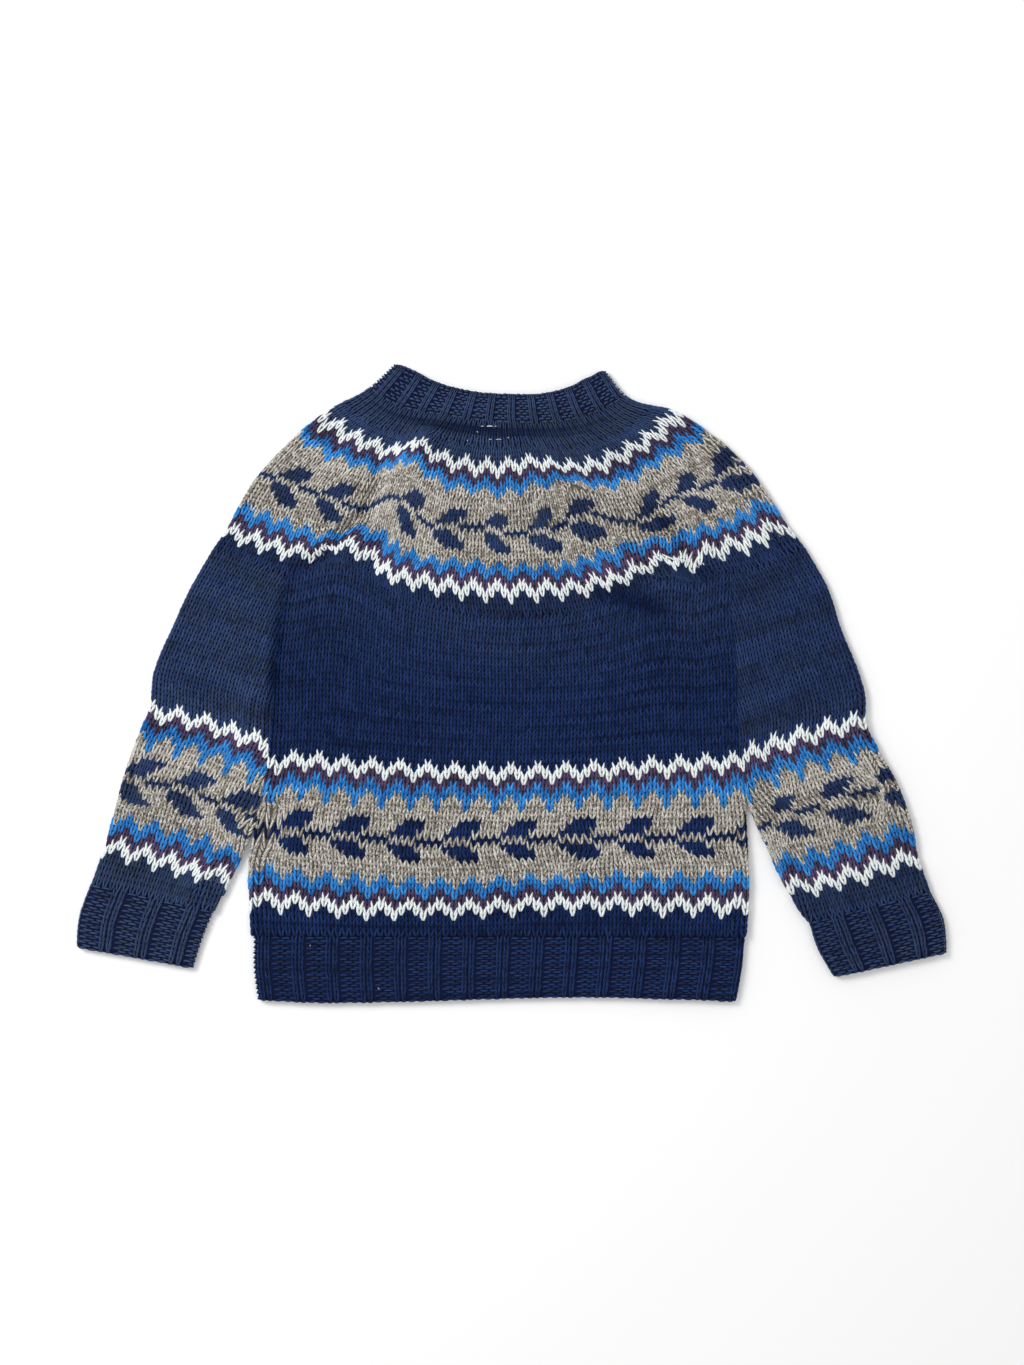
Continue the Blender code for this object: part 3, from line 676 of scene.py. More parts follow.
BODY_VINE = vine(11, 7, "...NNN..", "..NNNN..", ".NNNN...", "N....NNN", ".NNNN...", "..NNNN..", "...NNN..")
YOKE_VINE = vine(11, 6, "..NNN...", ".NNNN...", "NNNN....", "....NNNN", "NNN.....", "NNNN....",
                 ".NNNN...", "..NNN...")
LEFT_VINE = vine(10, 7, "..NNNN..", ".NNNN...", "NNNN....", "....NNNN", "NNN.....", "NNNN....",
                 ".NNNN...", "..NNNN..")
RIGHT_VINE = vine(11, 7, "..NNNN..", ".NNNN...", ".NNN....", "....NNNN", "........", "NNNN....",
                  ".NNNN...", "..NNNN..")
BODY_BAND_TOP = 31          # the band's first row on each piece
YOKE_BAND_TOP = 30.5
SLEEVE_BAND_TOP = 32.5
# First wales of the leaves on the yoke's back; one is hidden in the left crease.
LEAF_STARTS = np.array((-5, 3, 11, 25, 33, 41, 49, 57, 67, 75, 83, 91))


def band_yarn(band_row, wale, upper_shift, lower_shift, column, leaves):
    """Yarn of each stitch: band_row counts down from the band's top, wale counts to the right."""
    later = UPPER_ZIGZAG[(wale + upper_shift) % 4]
    upper = band_row - later
    lower = band_row - LOWER_START - LOWER_ZIGZAG[(wale + lower_shift) % 4]
    leaf_row = np.clip(band_row - leaves.first, 0, len(leaves.rows) - 1)
    leaf = (band_row - leaves.first == leaf_row) & leaves.rows[leaf_row, column % 8]
    return np.select(
        [(upper < 0) | (lower >= 6), upper < 2, upper < 4,
         (upper < 6) | ((later == 2) & (upper < leaves.drip)), lower >= 4, lower >= 2, lower >= 0, leaf],
        [NAVY, CREAM, PLUM, BLUE, CREAM, PLUM, BLUE, NAVY], TWEED)


def banded(top, upper_shift, lower_shift, leaves, leaf_shift=0, sign=1):
    """The yarn_of(wale, row) of a piece; sign -1 counts its wales from right to left."""
    def yarn_of(wale, row):
        band_row = np.round(top - row).astype(int)
        column = sign * wale + leaf_shift
        return band_yarn(band_row, sign * wale, upper_shift, lower_shift, column, leaves)
    return yarn_of


yoke_wide_yarn = banded(YOKE_BAND_TOP, 0, -1, YOKE_VINE, leaf_shift=2)
yoke_narrow_yarn = banded(YOKE_BAND_TOP, 1, 0, YOKE_VINE)
sleeve_left_yarn = banded(SLEEVE_BAND_TOP, 1, 1, LEFT_VINE)
sleeve_right_yarn = banded(SLEEVE_BAND_TOP, 2, 2, RIGHT_VINE, leaf_shift=2, sign=-1)


def body_yarn(wale, row):
    """The body's yarns, whose own rows stand a little closer than the tube's."""
    band_row = np.round(BODY_BAND_TOP - (row - BODY_FIRST_ROW) / BODY_ROW_STEP).astype(int)
    return band_yarn(band_row, wale, 0, 0, wale, BODY_VINE)


def yoke_vine_yarn(wale, row):
    """The yoke's vine on the back, whose leaves start at LEAF_STARTS, or only its stem where one is lost."""
    start = np.searchsorted(LEAF_STARTS, wale, side="right") - 1
    column = np.minimum(wale - LEAF_STARTS[start], 7)
    return band_yarn(np.round(YOKE_BAND_TOP - row).astype(int), wale, 0, -1, column, YOKE_VINE)


def plain_navy(wale, row):
    """Navy everywhere."""
    return np.full(np.shape(wale), NAVY)


# ---------------------------------------------------------------- yarns
FIBRE_SIZE = 900.0          # noise of the fibres, per metre
FLOAT_TONE = 0.1            # tone of the floats, which have no plies

# A wool: its darkest and lightest dye, a darker copy of them behind the stitches (painted shade
# seen in the gaps between legs), its sheen, a greyish haze added as painted light, and its flecks.
Wool = namedtuple("Wool", "deep light float_deep float_light sheen haze flecks", defaults=(0.04, None, ()))
# Flecks: colour, greatest share, size per metre, noise level at which they start, and offset in it.
Fleck = namedtuple("Fleck", "colour share size level offset")
WOOLS = {
    "navy": Wool((0.002, 0.009, 0.044), (0.014, 0.037, 0.143),
                 (0.003, 0.005, 0.022), (0.008, 0.012, 0.045), sheen=0.02, haze=(0.030, 0.040, 0.042)),
    "cream": Wool((0.73, 0.77, 0.77), (0.90, 0.94, 0.94), (0.16, 0.16, 0.17), (0.30, 0.31, 0.31)),
    "plum": Wool((0.034, 0.026, 0.060), (0.122, 0.084, 0.184),
                 (0.008, 0.006, 0.014), (0.022, 0.014, 0.030)),
    "blue": Wool((0.009, 0.110, 0.36), (0.058, 0.335, 0.78), (0.003, 0.030, 0.11), (0.009, 0.070, 0.21)),
    "tweed": Wool((0.21, 0.185, 0.15), (0.57, 0.54, 0.49),
                  (0.06, 0.05, 0.042), (0.15, 0.13, 0.11), sheen=0.08,
                  flecks=(Fleck((0.78, 0.77, 0.73), 0.75, 380.0, 0.56, 0.0),
                          Fleck((0.12, 0.10, 0.08), 0.6, 360.0, 0.59, 5.0))),
}


def added(tree, value, times, plus):
    """value * times + plus, where plus is a number or another node's output."""
    node = tree.nodes.new("ShaderNodeMath")
    node.operation = "MULTIPLY_ADD"
    tree.links.new(value, node.inputs[0])
    node.inputs[1].default_value = times
    if isinstance(plus, float):
        node.inputs[2].default_value = plus
    else:
        tree.links.new(plus, node.inputs[2])
    return node.outputs[0]


def mixed(tree, share, first, second, blend="MIX"):
    """A colour from first to second by share, held between 0 and 1, or first and that share of second."""
    node = tree.nodes.new("ShaderNodeMix")
    node.data_type = "RGBA"
    node.clamp_factor = True
    node.blend_type = blend
    tree.links.new(share, node.inputs[0])
    for socket, colour in ((node.inputs[6], first), (node.inputs[7], second)):
        if isinstance(colour, tuple):
            socket.default_value = (*colour, 1.0)
        else:
            tree.links.new(colour, socket)
    return node.outputs[2]


def noise(tree, vector, size, detail):
    """Soft noise of some size per metre at a place."""
    node = tree.nodes.new("ShaderNodeTexNoise")
    node.inputs["Scale"].default_value = size
    node.inputs["Detail"].default_value = detail
    tree.links.new(vector, node.inputs["Vector"])
    return node


def attribute(tree, name):
    """A point attribute of the strands."""
    node = tree.nodes.new("ShaderNodeAttribute")
    node.attribute_name = name
    return node.outputs["Fac"]


def yarn_material(name, deep, light, wool=None):
    """Woollen yarn, or, if no wool is given, what lies behind the stitches in darker dyes: painted shade.

    The dye is between deep and light by tone + 0.8 fibres + 0.12 sin(2 pi ply), with the wool's
    flecks and its painted-light haze over it; its bumps are 0.5 fibres + 0.25 sin(2 pi ply).
    """
    material = bpy.data.materials.new(name)
    material.use_nodes = True
    tree = material.node_tree
    shader = tree.nodes["Principled BSDF"]
    place = tree.nodes.new("ShaderNodeTexCoord").outputs["Object"]
    fibres = noise(tree, place, FIBRE_SIZE, 3.0)
    fibres.inputs["Roughness"].default_value = 0.6
    depth = added(tree, fibres.outputs["Fac"], 0.8, -0.4 if wool else FLOAT_TONE)
    height = added(tree, fibres.outputs["Fac"], 0.5, 0.0)
    if wool:
        depth = added(tree, attribute(tree, "tone"), 1.0, depth)
        wave = tree.nodes.new("ShaderNodeMath")
        wave.operation = "SINE"
        tree.links.new(added(tree, attribute(tree, "ply"), 2 * np.pi, 0.0), wave.inputs[0])
        depth = added(tree, wave.outputs[0], 0.12, depth)
        height = added(tree, wave.outputs[0], 0.25, height)
    dye = mixed(tree, depth, deep, light)
    for fleck in wool.flecks if wool else ():
        shift = tree.nodes.new("ShaderNodeMapping")
        shift.inputs["Location"].default_value = (fleck.offset, fleck.offset, 0.0)
        tree.links.new(place, shift.inputs["Vector"])
        tufts = noise(tree, shift.outputs["Vector"], fleck.size, 1.0)
        spots = tree.nodes.new("ShaderNodeMapRange")
        spots.inputs["From Min"].default_value = fleck.level - 0.05
        spots.inputs["From Max"].default_value = fleck.level + 0.08
        spots.inputs["To Max"].default_value = fleck.share
        tree.links.new(tufts.outputs["Fac"], spots.inputs["Value"])
        dye = mixed(tree, spots.outputs["Result"], dye, fleck.colour)
    # Painted light: a greyish haze added by each strand's painted-light share.
    if wool and wool.haze:
        dye = mixed(tree, attribute(tree, "painted_light"), dye, wool.haze, "ADD")
    tree.links.new(dye, shader.inputs["Base Color"])
    rough = tree.nodes.new("ShaderNodeMapRange")
    rough.inputs["To Min"].default_value = 0.86
    rough.inputs["To Max"].default_value = 0.98
    tree.links.new(fibres.outputs["Fac"], rough.inputs["Value"])
    tree.links.new(rough.outputs["Result"], shader.inputs["Roughness"])
    bump = tree.nodes.new("ShaderNodeBump")
    bump.inputs["Strength"].default_value = 0.6
    bump.inputs["Distance"].default_value = 0.4 * MM
    tree.links.new(height, bump.inputs["Height"])
    tree.links.new(bump.outputs["Normal"], shader.inputs["Normal"])
    shader.inputs["Sheen Weight"].default_value = wool.sheen if wool else 0.0
    shader.inputs["Sheen Roughness"].default_value = 0.5
    shader.inputs["Specular IOR Level"].default_value = 0.06
    return material


MATERIALS = {}
for colour, wool in WOOLS.items():
    MATERIALS[colour + "_yarn"] = yarn_material(colour + "_yarn", wool.deep, wool.light, wool)
    # Painted shade: behind the stitches each yarn has a darker copy, seen in the gaps between legs.
    MATERIALS[colour + "_float"] = yarn_material(colour + "_float", wool.float_deep, wool.float_light)


def mesh_piece(name, co, loops, sizes, yarns, materials):
    """A smooth mesh object from flat arrays, each face in one of the materials, riding on the garment."""
    mesh = bpy.data.meshes.new(name)
    mesh.vertices.add(len(co))
    mesh.vertices.foreach_set("co", co.astype(np.float32).ravel())
    mesh.loops.add(len(loops))
    mesh.loops.foreach_set("vertex_index", loops.astype(np.int32))
    mesh.polygons.add(len(sizes))
    starts = np.concatenate([[0], np.cumsum(sizes)[:-1]])
    mesh.polygons.foreach_set("loop_start", starts.astype(np.int32))
    for material in materials:
        mesh.materials.append(MATERIALS[material])
    mesh.polygons.foreach_set("material_index", yarns.astype(np.int32))
    mesh.polygons.foreach_set("use_smooth", np.ones(len(sizes), dtype=bool))
    mesh.update(calc_edges=True)
    piece = bpy.data.objects.new(name, mesh)
    bpy.context.scene.collection.objects.link(piece)
    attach(piece, "root")
    return piece


# ---------------------------------------------------------------- strands
STRAND_SIDE = np.array((-1.0, 0.0, 1.0))        # a strand's cross-section: two edges and a crown
STRAND_RISE = np.array((-0.35, 1.0, -0.35))
PLY_TURNS = 3.0             # how often the plies of the yarn cross a strand
PLY_SLANT = 0.35            # how much of a turn they slant from its crown to its edge
# A strand's cell of the map: where the corners of its three sides stand across it, from one side
# to the next round to the first, and the levels of its tips and of its first and last section.
MAP_MARKS = np.array((0.08, 0.4, 0.72, 0.92))
MAP_TIPS = (0.02, 0.98)
MAP_ENDS = (0.1, 0.9)


def strands(middles, normals, thick):
    """Closed three-sided strands along many short paths: points, walls, tips, map and ply.

    middles and normals have a place and an outward normal for each strand at each of its stops; the
    first and last stops are the tips.  Between them the section is a triangle with a rounded crown:
    middle + thick * (side * across the strand + rise * normal).
    """
    along = np.gradient(middles, axis=1)
    along /= np.maximum(np.linalg.norm(along, axis=2, keepdims=True), 1e-12)
    sideways = np.cross(along, normals)
    sideways /= np.maximum(np.linalg.norm(sideways, axis=2, keepdims=True), 1e-12)
    outward = np.cross(sideways, along)
    count, stops = middles.shape[:2]
    rings = stops - 2
    reach = thick[:, :, None, None]
    body = (middles[:, 1:-1, None, :]
            + reach * STRAND_SIDE[:, None] * sideways[:, 1:-1, None, :]
            + reach * STRAND_RISE[:, None] * outward[:, 1:-1, None, :])
    points = np.concatenate([middles[:, :1], body.reshape(count, rings * 3, 3), middles[:, -1:]], axis=1)

    ring = 1 + 3 * np.arange(rings - 1)[:, None]
    side = np.arange(3)
    after = (side + 1) % 3
    walls = np.stack([ring + side, ring + after, ring + 3 + after, ring + 3 + side], axis=-1).reshape(-1, 4)
    top = 1 + 3 * (rings - 1)
    tips = np.concatenate([
        np.stack([np.zeros(3, int), 1 + after, 1 + side], axis=-1),
        np.stack([np.full(3, 3 * rings + 1), top + side, top + after], axis=-1),
    ])
    left, right = MAP_MARKS[:-1], MAP_MARKS[1:]
    level = MAP_ENDS[0] + (MAP_ENDS[1] - MAP_ENDS[0]) * np.arange(rings) / max(rings - 1, 1)
    wall_u = np.stack([left, right, right, left], axis=-1)
    wall_v = np.stack([level[:-1], level[:-1], level[1:], level[1:]], axis=-1)
    wall_map = np.stack(np.broadcast_arrays(wall_u[None, :, :], wall_v[:, None, :]), axis=-1).reshape(-1, 2)
    tip_maps = [
        np.stack([np.stack([(left + right) / 2, *corners], axis=-1), np.tile((tip, end, end), (3, 1))],
                 axis=-1).reshape(-1, 2)
        for corners, tip, end in (((right, left), MAP_TIPS[0], MAP_ENDS[0]),
                                  ((left, right), MAP_TIPS[1], MAP_ENDS[1]))]
    turns = np.arange(1, rings + 1)[:, None] / (stops - 1) * PLY_TURNS + PLY_SLANT * STRAND_SIDE
    ply = np.concatenate([[0.0], turns.ravel(), [PLY_TURNS]])
    return points, walls, tips, np.concatenate([wall_map, *tip_maps]), ply


def strand_piece(name, groups):
    """One mesh object of many strands, from groups of alike ones.

    A group is (points, walls, tips, map, ply, yarn, tone, painted light): what strands() gives, and
    then a value for each strand.  Each strand has its own small cell of the map.
    """
    co, loops, sizes, yarns, tones, painted_light_shares, plies, maps = [], [], [], [], [], [], [], []
    base = 0
    cell = 0
    cells = int(np.ceil(np.sqrt(sum(len(group[0]) for group in groups))))
    for points, walls, tips, own_map, ply, yarn, tone, painted_light in groups:
        count, per = points.shape[:2]
        start = base + per * np.arange(count)[:, None]
        corners = np.concatenate([walls.ravel(), tips.ravel()])
        loops.append((start + corners[None, :]).ravel())
        face_sizes = np.concatenate([np.full(len(walls), 4), np.full(len(tips), 3)])
        sizes.append(np.tile(face_sizes, count))
        yarns.append(np.repeat(yarn, len(face_sizes)))
        tones.append(np.repeat(tone, per))
        painted_light_shares.append(np.repeat(painted_light, per))
        plies.append(np.tile(ply, count))
        places = cell + np.arange(count)
        origin = np.stack([places % cells, places // cells], axis=-1)[:, None, :]
        maps.append(((origin + own_map[None, :, :]) / cells).reshape(-1, 2))
        co.append(points.reshape(-1, 3))
        base += per * count
        cell += count
    piece = mesh_piece(name, np.concatenate(co), np.concatenate(loops), np.concatenate(sizes),
                       np.concatenate(yarns), YARNS)
    # The painted-light share goes onto the points as an attribute for the navy's haze.
    for attribute_name, values in (("tone", tones), ("painted_light", painted_light_shares), ("ply", plies)):
        layer = piece.data.attributes.new(attribute_name, "FLOAT", "POINT")
        layer.data.foreach_set("value", np.concatenate(values).astype(np.float32))
    layer = piece.data.uv_layers.new(name="OFBake", do_init=False)
    layer.uv.foreach_set("vector", np.concatenate(maps).astype(np.float32).ravel())
    return piece


# ---------------------------------------------------------------- stitches
# Plain stitches to be made: wale, row (of the tube) and yarn of each, as flat arrays.
Stitches = namedtuple("Stitches", "wale row yarn")

# One leg of a stitch, from the foot that it shares with its twin up and out to its tip: share of a
# wale sideways, rows upwards, height of its middle over the cloth's face, and its thickness in
# wales at the stops between the tips.
Leg = namedtuple("Leg", "out up rise thick")
BACK_LEG = Leg(np.array((0.03, 0.12, 0.22, 0.31, 0.39, 0.46)),
               np.array((-0.82, -0.6, -0.14, 0.32, 0.7, 1.0)),
               np.array((-1.5, -1.1, -0.95, -1.1, -1.5, -2.1)) * MM,
               np.array((0.175, 0.212, 0.2, 0.15)))
FRONT_LEG = Leg(np.array((0.05, 0.19, 0.35, 0.44)),
                np.array((-0.75, -0.3, 0.45, 0.92)),
                np.array((-1.9, -1.6, -1.65, -2.1)) * MM,
                np.array((0.18, 0.15)))
WIDEST_WALE = 7.4 * MM      # a wale wider than this has legs no thicker
FULLNESS = np.array((1.0, 1.06, 0.93, 1.17, 1.02))     # how thick each yarn is beside the navy
RIB_SLIM = 0.8              # legs of a rib's knit wales beside the plain ones
NECK_SLIM = 0.84            # legs between the band and the neckband

# A short strand along a row: half its length in wales, the height of its middle over the cloth's
# face, how much lower its ends lie, and its thickness at the stops between them.
Bump = namedtuple("Bump", "reach rise sink thick")
PURL = Bump(0.52, -0.85 * MM, 0.6 * MM, np.array((1.15, 1.3, 1.15)) * MM)
EDGE = Bump(0.56, -1.9 * MM, 0.5 * MM, np.array((1.25, 1.6, 1.25)) * MM)
BUMP_PLACES = np.linspace(-1.0, 1.0, 5)     # a bump's stops, from end to end
PURL_PAIR = ((1.0, 0.0, 0.2), (-1.0, 0.5, -0.25))       # bowed up or down, wales right and rows up
PURL_BOW = 0.17             # rows between a purl bump's middle and its ends
PURL_MIDDLE = 0.08          # rows that the whole bump is moved against its bow
PURL_PAINTED_HIGHLIGHT = 0.14            # painted highlight: purl bumps are dyed lighter, as they catch more light than legs
EDGE_SLANT = 0.1            # rows that an edge loop rises to its right end

DYE_TONE = 0.5              # an even tone between a wool's darkest and lightest dye
PAINTED_HOLLOW_SHADE = 0.05          # painted shade: tone lost in a hollow 1 mm deep
PAINTED_LIGHT_PER_MM = 0.28          # painted shade: share of the painted-light haze lost for each mm of depth in a hollow
# Painted light: how much greyish haze the navy gets, more where more light falls (the neck, the
# sleeves, the left side): rows, and 0 (none) to 1 at those rows.
YOKE_PAINTED_LIGHT = ((0, 10, 33, 38), (0.28, 0.45, 0.85, 1.1))
PAINTED_LIGHT = {
    "hem_rib": ((-12, 0), (0.12, 0.08)),
    "body": ((0, 44, 62), (0.0, 0.04, 0.3)),
    "yoke": YOKE_PAINTED_LIGHT,
    "yoke_vine": YOKE_PAINTED_LIGHT,
    "yoke_top": YOKE_PAINTED_LIGHT,
    "neckband": ((38, 43), (1.15, 1.35)),
    "sleeve_left": ((0, 63), (0.8, 0.6)),
    "sleeve_right": ((0, 63), (0.5, 0.35)),
    "cuff_left": ((-11, 0), (1.0, 0.85)),
    "cuff_right": ((-11, 0), (0.75, 0.5)),
}


def uneven(count, amount, width=1):
    """Small hand-made differences, the same at every run."""
    return DICE.uniform(-amount, amount, (count, width))


def stitch_tones(stitches):
    """Depth of dye of each stitch: long streaks along the rows where a strand was darker."""
    row = np.round(stitches.row).astype(int)
    phase = (row * 7919) % 97
    streak = 0.5 * np.sin(stitches.wale * 0.21 + phase) + 0.5 * np.sin(stitches.wale * 0.083 + 2.3 * phase)
    strand = np.sin(row * 2.399)
    return DYE_TONE + 0.24 * streak + 0.14 * strand + uneven(len(row), 0.1)[:, 0]


def raised(middles):
    """How many mm each strand's middle lies above the level top for its folds, below 0 in a hollow."""
    return (laid_top(middles[:, middles.shape[1] // 2, :2]) - LAID_HEIGHT) / MM


def painted_light_share(tube, row, height):
    """Painted light on each strand: its share of greyish haze, a little different on each, and less in a
    hollow as painted shade.
    """
    # Painted shade and light: the haze is cut in a hollow and raised on a ridge.
    kept = np.clip(1 + PAINTED_LIGHT_PER_MM * height, 0.0, 1.4)
    return kept * np.interp(row, *PAINTED_LIGHT[tube.name]) * (1 + uneven(len(row), 0.45)[:, 0])


def stitch_group(tube, stitches, tone, middles, normals, thick):
    """A strand of each stitch: a little different in tone, on the tweed much so, and darker in a hollow as
    painted shade.
    """
    height = raised(middles)
    amount = np.where(stitches.yarn == TWEED, 0.46, 0.24)
    # Painted shade: a strand in a hollow is dyed darker by the square of the depth.
    tone = tone + amount * uneven(len(tone), 1.0)[:, 0] - PAINTED_HOLLOW_SHADE * np.clip(-height, 0.0, 3.2) ** 2
    return *strands(middles, normals, thick), stitches.yarn, tone, painted_light_share(tube, stitches.row, height)


def plain_stitches(tube, across_of, stitches, lift=0.0, under=False, slim=1.0):
    """The two legs of each stitch.

    A leg's middle runs from the foot at the wale's centre up and out to the wale's edge, over its
    neighbour below and under the one above, as its Leg gives it.  Where slim is below 1 the legs are
    thinner and nearer, and the wales stand apart.
    """
    leg = FRONT_LEG if under else BACK_LEG
    count = len(stitches.wale)
    near = np.abs(across_of(tube, stitches.wale + 0.5, stitches.row)
                  - across_of(tube, stitches.wale - 0.5, stitches.row))
    tone = stitch_tones(stitches)
    shift, raise_by, swell = uneven(count, 0.03), uneven(count, 0.05), 1 + uneven(count, 0.07)
    full = FULLNESS[stitches.yarn][:, None]
    height = uneven(count, 0.15 * MM) + (full - 1) * 2 * MM
    rise = leg.rise + np.broadcast_to(lift, (count,))[:, None] + (0 if under else height)
    groups = []
    for hand in (-1, 1):
        lean = uneven(count, 0.02)
        wale = stitches.wale[:, None] + shift + hand * (leg.out * slim + lean)
        row = stitches.row[:, None] + raise_by + leg.up
        middles, normals = cloth(tube, across_of, wale, row, rise)
        thick = np.minimum(near[:, None], WIDEST_WALE) * leg.thick * slim * swell * full
        groups.append(stitch_group(tube, stitches, tone, middles, normals, thick))
    return groups


def purl_bumps(tube, across_of, stitches, lift=0.0):
    """The two bumps of a purl stitch: an arch over its head and a hammock under its foot.

    Each is a strand bent along a parabola, a row wide of half a row's depth, the arch bowed up and
    the hammock bowed down half a wale away.
    """
    count = len(stitches.wale)
    # Painted highlight: purl bumps are dyed lighter than the legs.
    tone = stitch_tones(stitches) + PURL_PAINTED_HIGHLIGHT
    groups = []
    for bow, offset, level in PURL_PAIR:
        wale = stitches.wale[:, None] + offset + PURL.reach * BUMP_PLACES + uneven(count, 0.04)
        arch = PURL_BOW * (1 - BUMP_PLACES ** 2) - PURL_MIDDLE
        row = stitches.row[:, None] + level + bow * arch + uneven(count, 0.05)
        rise = PURL.rise - PURL.sink * BUMP_PLACES ** 2 + np.broadcast_to(lift, (count,))[:, None]
        middles, normals = cloth(tube, across_of, wale, row, rise)
        thick = np.tile(PURL.thick, (count, 1))
        groups.append(stitch_group(tube, stitches, tone, middles, normals, thick))
    return groups


def edge_loops(tube, across_of, wales, row, lift):
    """The cast-on or bound-off edge: one plump slanted strand to each wale, along the edge."""
    count = len(wales)
    wale = wales[:, None] + EDGE.reach * BUMP_PLACES
    edge = row + EDGE_SLANT * BUMP_PLACES + uneven(count, 0.05)
    rise = EDGE.rise - EDGE.sink * BUMP_PLACES ** 2 + lift
    middles, normals = cloth(tube, across_of, wale, edge, np.broadcast_to(rise, wale.shape))
    tone = DYE_TONE + uneven(count, 0.12)[:, 0]
    # Painted light: the edge gets the navy's haze as the stitches do.
    painted_light = painted_light_share(tube, np.full(count, row), raised(middles))
    thick = np.tile(EDGE.thick, (count, 1))
    return [(*strands(middles, normals, thick), np.full(count, NAVY), tone, painted_light)]


# ---------------------------------------------------------------- the ground under the stitches
GROUND_MARGIN = 0.03        # rows that the ground stops short of the tube's ends
INNER_ROWS = 5              # rows to a cell of its inner face


def ground_piece(tube, around, yarn_at, relief_at):
    """The cloth of a piece as one walled tube just under its stitches, open at both ends.

    Its outer face is the cloth's face less GROUND_DEPTH along the normal, its inner face lies
    GROUND_WALL further in, with fewer rows.  A cell of the outer face is about one stitch, in the
    darker float dye (painted shade) of the yarn that yarn_at gives for its share of the width (below
    0 on the front) and its row.
    """
    row_count = int(round(tube.last - tube.first))
    rows = np.linspace(tube.first + GROUND_MARGIN, tube.last - GROUND_MARGIN, row_count + 1)
    shares = np.concatenate([np.arange(around + 1) / around, -np.arange(around - 1, 0, -1) / around])
    across, row = np.meshgrid(shares, rows)
    depth = relief_at(tube, across, row) - GROUND_DEPTH
    outer, _ = on_face(tube, across, row, depth)
    kept = np.unique(np.append(np.arange(0, row_count + 1, INNER_ROWS), row_count))
    inner, _ = on_face(tube, across[kept], row[kept], depth[kept] - GROUND_WALL)

    wide = len(shares)
    here, after = np.arange(wide), (np.arange(wide) + 1) % wide
    start = wide * np.arange(row_count)[:, None]
    outer_faces = np.stack([start + here, start + after, start + wide + after, start + wide + here], axis=-1)
    first_inner = wide * (row_count + 1)
    start = first_inner + wide * np.arange(len(kept) - 1)[:, None]
    inner_faces = np.stack([start + after, start + here, start + wide + here, start + wide + after], axis=-1)
    last_outer = wide * row_count
    last_inner = first_inner + wide * (len(kept) - 1)
    ends = np.concatenate([
        np.stack([after, here, first_inner + here, first_inner + after], axis=-1),
        np.stack([last_outer + here, last_outer + after, last_inner + after, last_inner + here], axis=-1),
    ])
    cell_share = (shares + 0.5 / around)[None, :] + np.zeros((row_count, 1))
    cell_share[:, around:] = -(1 - (np.arange(around) + 0.5) / around)
    cell_row = (rows[:-1] + rows[1:])[:, None] / 2 + np.zeros((1, wide))
    yarns = np.concatenate([yarn_at(cell_share, cell_row).ravel(),
                            np.full(inner_faces[..., 0].size + len(ends), NAVY)])
    faces = np.concatenate([outer_faces.reshape(-1, 4), inner_faces.reshape(-1, 4), ends])
    co = np.concatenate([outer.reshape(-1, 3), inner.reshape(-1, 3)])
    sizes = np.full(len(faces), 4)
    # Painted shade: the ground is dyed in the darker float copies of the yarns.
    return mesh_piece(tube.name + "_ground", co, faces.ravel(), sizes, yarns, SHADED_FLOATS)


# ---------------------------------------------------------------- plain-knitted pieces
# A block of stitches of one count: its wales and rows on a tube, and which yarn each is in.
Block = namedtuple("Block", "label tube across_of wales rows yarn_of")
BACK_EDGE = 0.2             # wales left of each side fold up to which the back has stitches
FRONT_EDGE = 0.3            # wales left of the right fold up to which the front has them


def filled(block, under):
    """Every stitch of a block whose middle lies on the back, or on the front if under."""
    tube = block.tube
    wale, row = (a.ravel().astype(float) for a in np.meshgrid(block.wales, block.rows))
    across = block.across_of(tube, wale, row)
    pitch = np.abs(block.across_of(tube, wale + 0.5, row) - block.across_of(tube, wale - 0.5, row))
    if under:
        inside = -across < width_at(tube, row) - FRONT_EDGE * pitch
    else:
        inside = (across > -BACK_EDGE * pitch) & (across < width_at(tube, row) - BACK_EDGE * pitch)
    wale, row = wale[inside], row[inside]
    return Stitches(wale, row, block.yarn_of(wale.astype(int), row))


def nearest_yarn(block, share, row):
    """The yarn at places of the back or the front, from the block's wale that is nearest there."""
    share, row = unmoved(block.tube, share, row)
    lattice = block.across_of(block.tube, block.wales[:, None, None].astype(float), row[None])
    nearest = np.abs(lattice / width_at(block.tube, row)[None] - share[None]).argmin(axis=0)
    return block.yarn_of(block.wales[nearest], row)


def yarns_of(backs, fronts):
    """The yarn_at(share, row) of a piece: share of the width, below 0 on the front."""
    def yarn_at(share, row):
        sides = []
        for blocks, sign in ((backs, 1), (fronts, -1)):
            found = [nearest_yarn(block, sign * np.abs(share), row) for block in blocks]
            ends = [row < block.rows[-1] + 0.5 for block in blocks]
            sides.append(np.select(ends, found, found[-1]))
        return np.where(share >= 0, *sides)
    return yarn_at


def no_relief(tube, share, row):
    """A face that keeps the cloth's height."""
    return np.zeros(share.shape)


def knitted_piece(tube, around, backs, fronts):
    """Ground and stitches of one plain-knitted piece, from its blocks on the back and the front."""
    ground = ground_piece(tube, around, yarns_of(backs, fronts), no_relief)
    made = []
    for blocks, under in ((backs, False), (fronts, True)):
        for block in blocks:
            slim = NECK_SLIM if block.label == "back_neck" else 1.0
            groups = plain_stitches(block.tube, block.across_of, filled(block, under), under=under, slim=slim)
            made.append(strand_piece(tube.name + "_" + block.label, groups))
    return ground, made


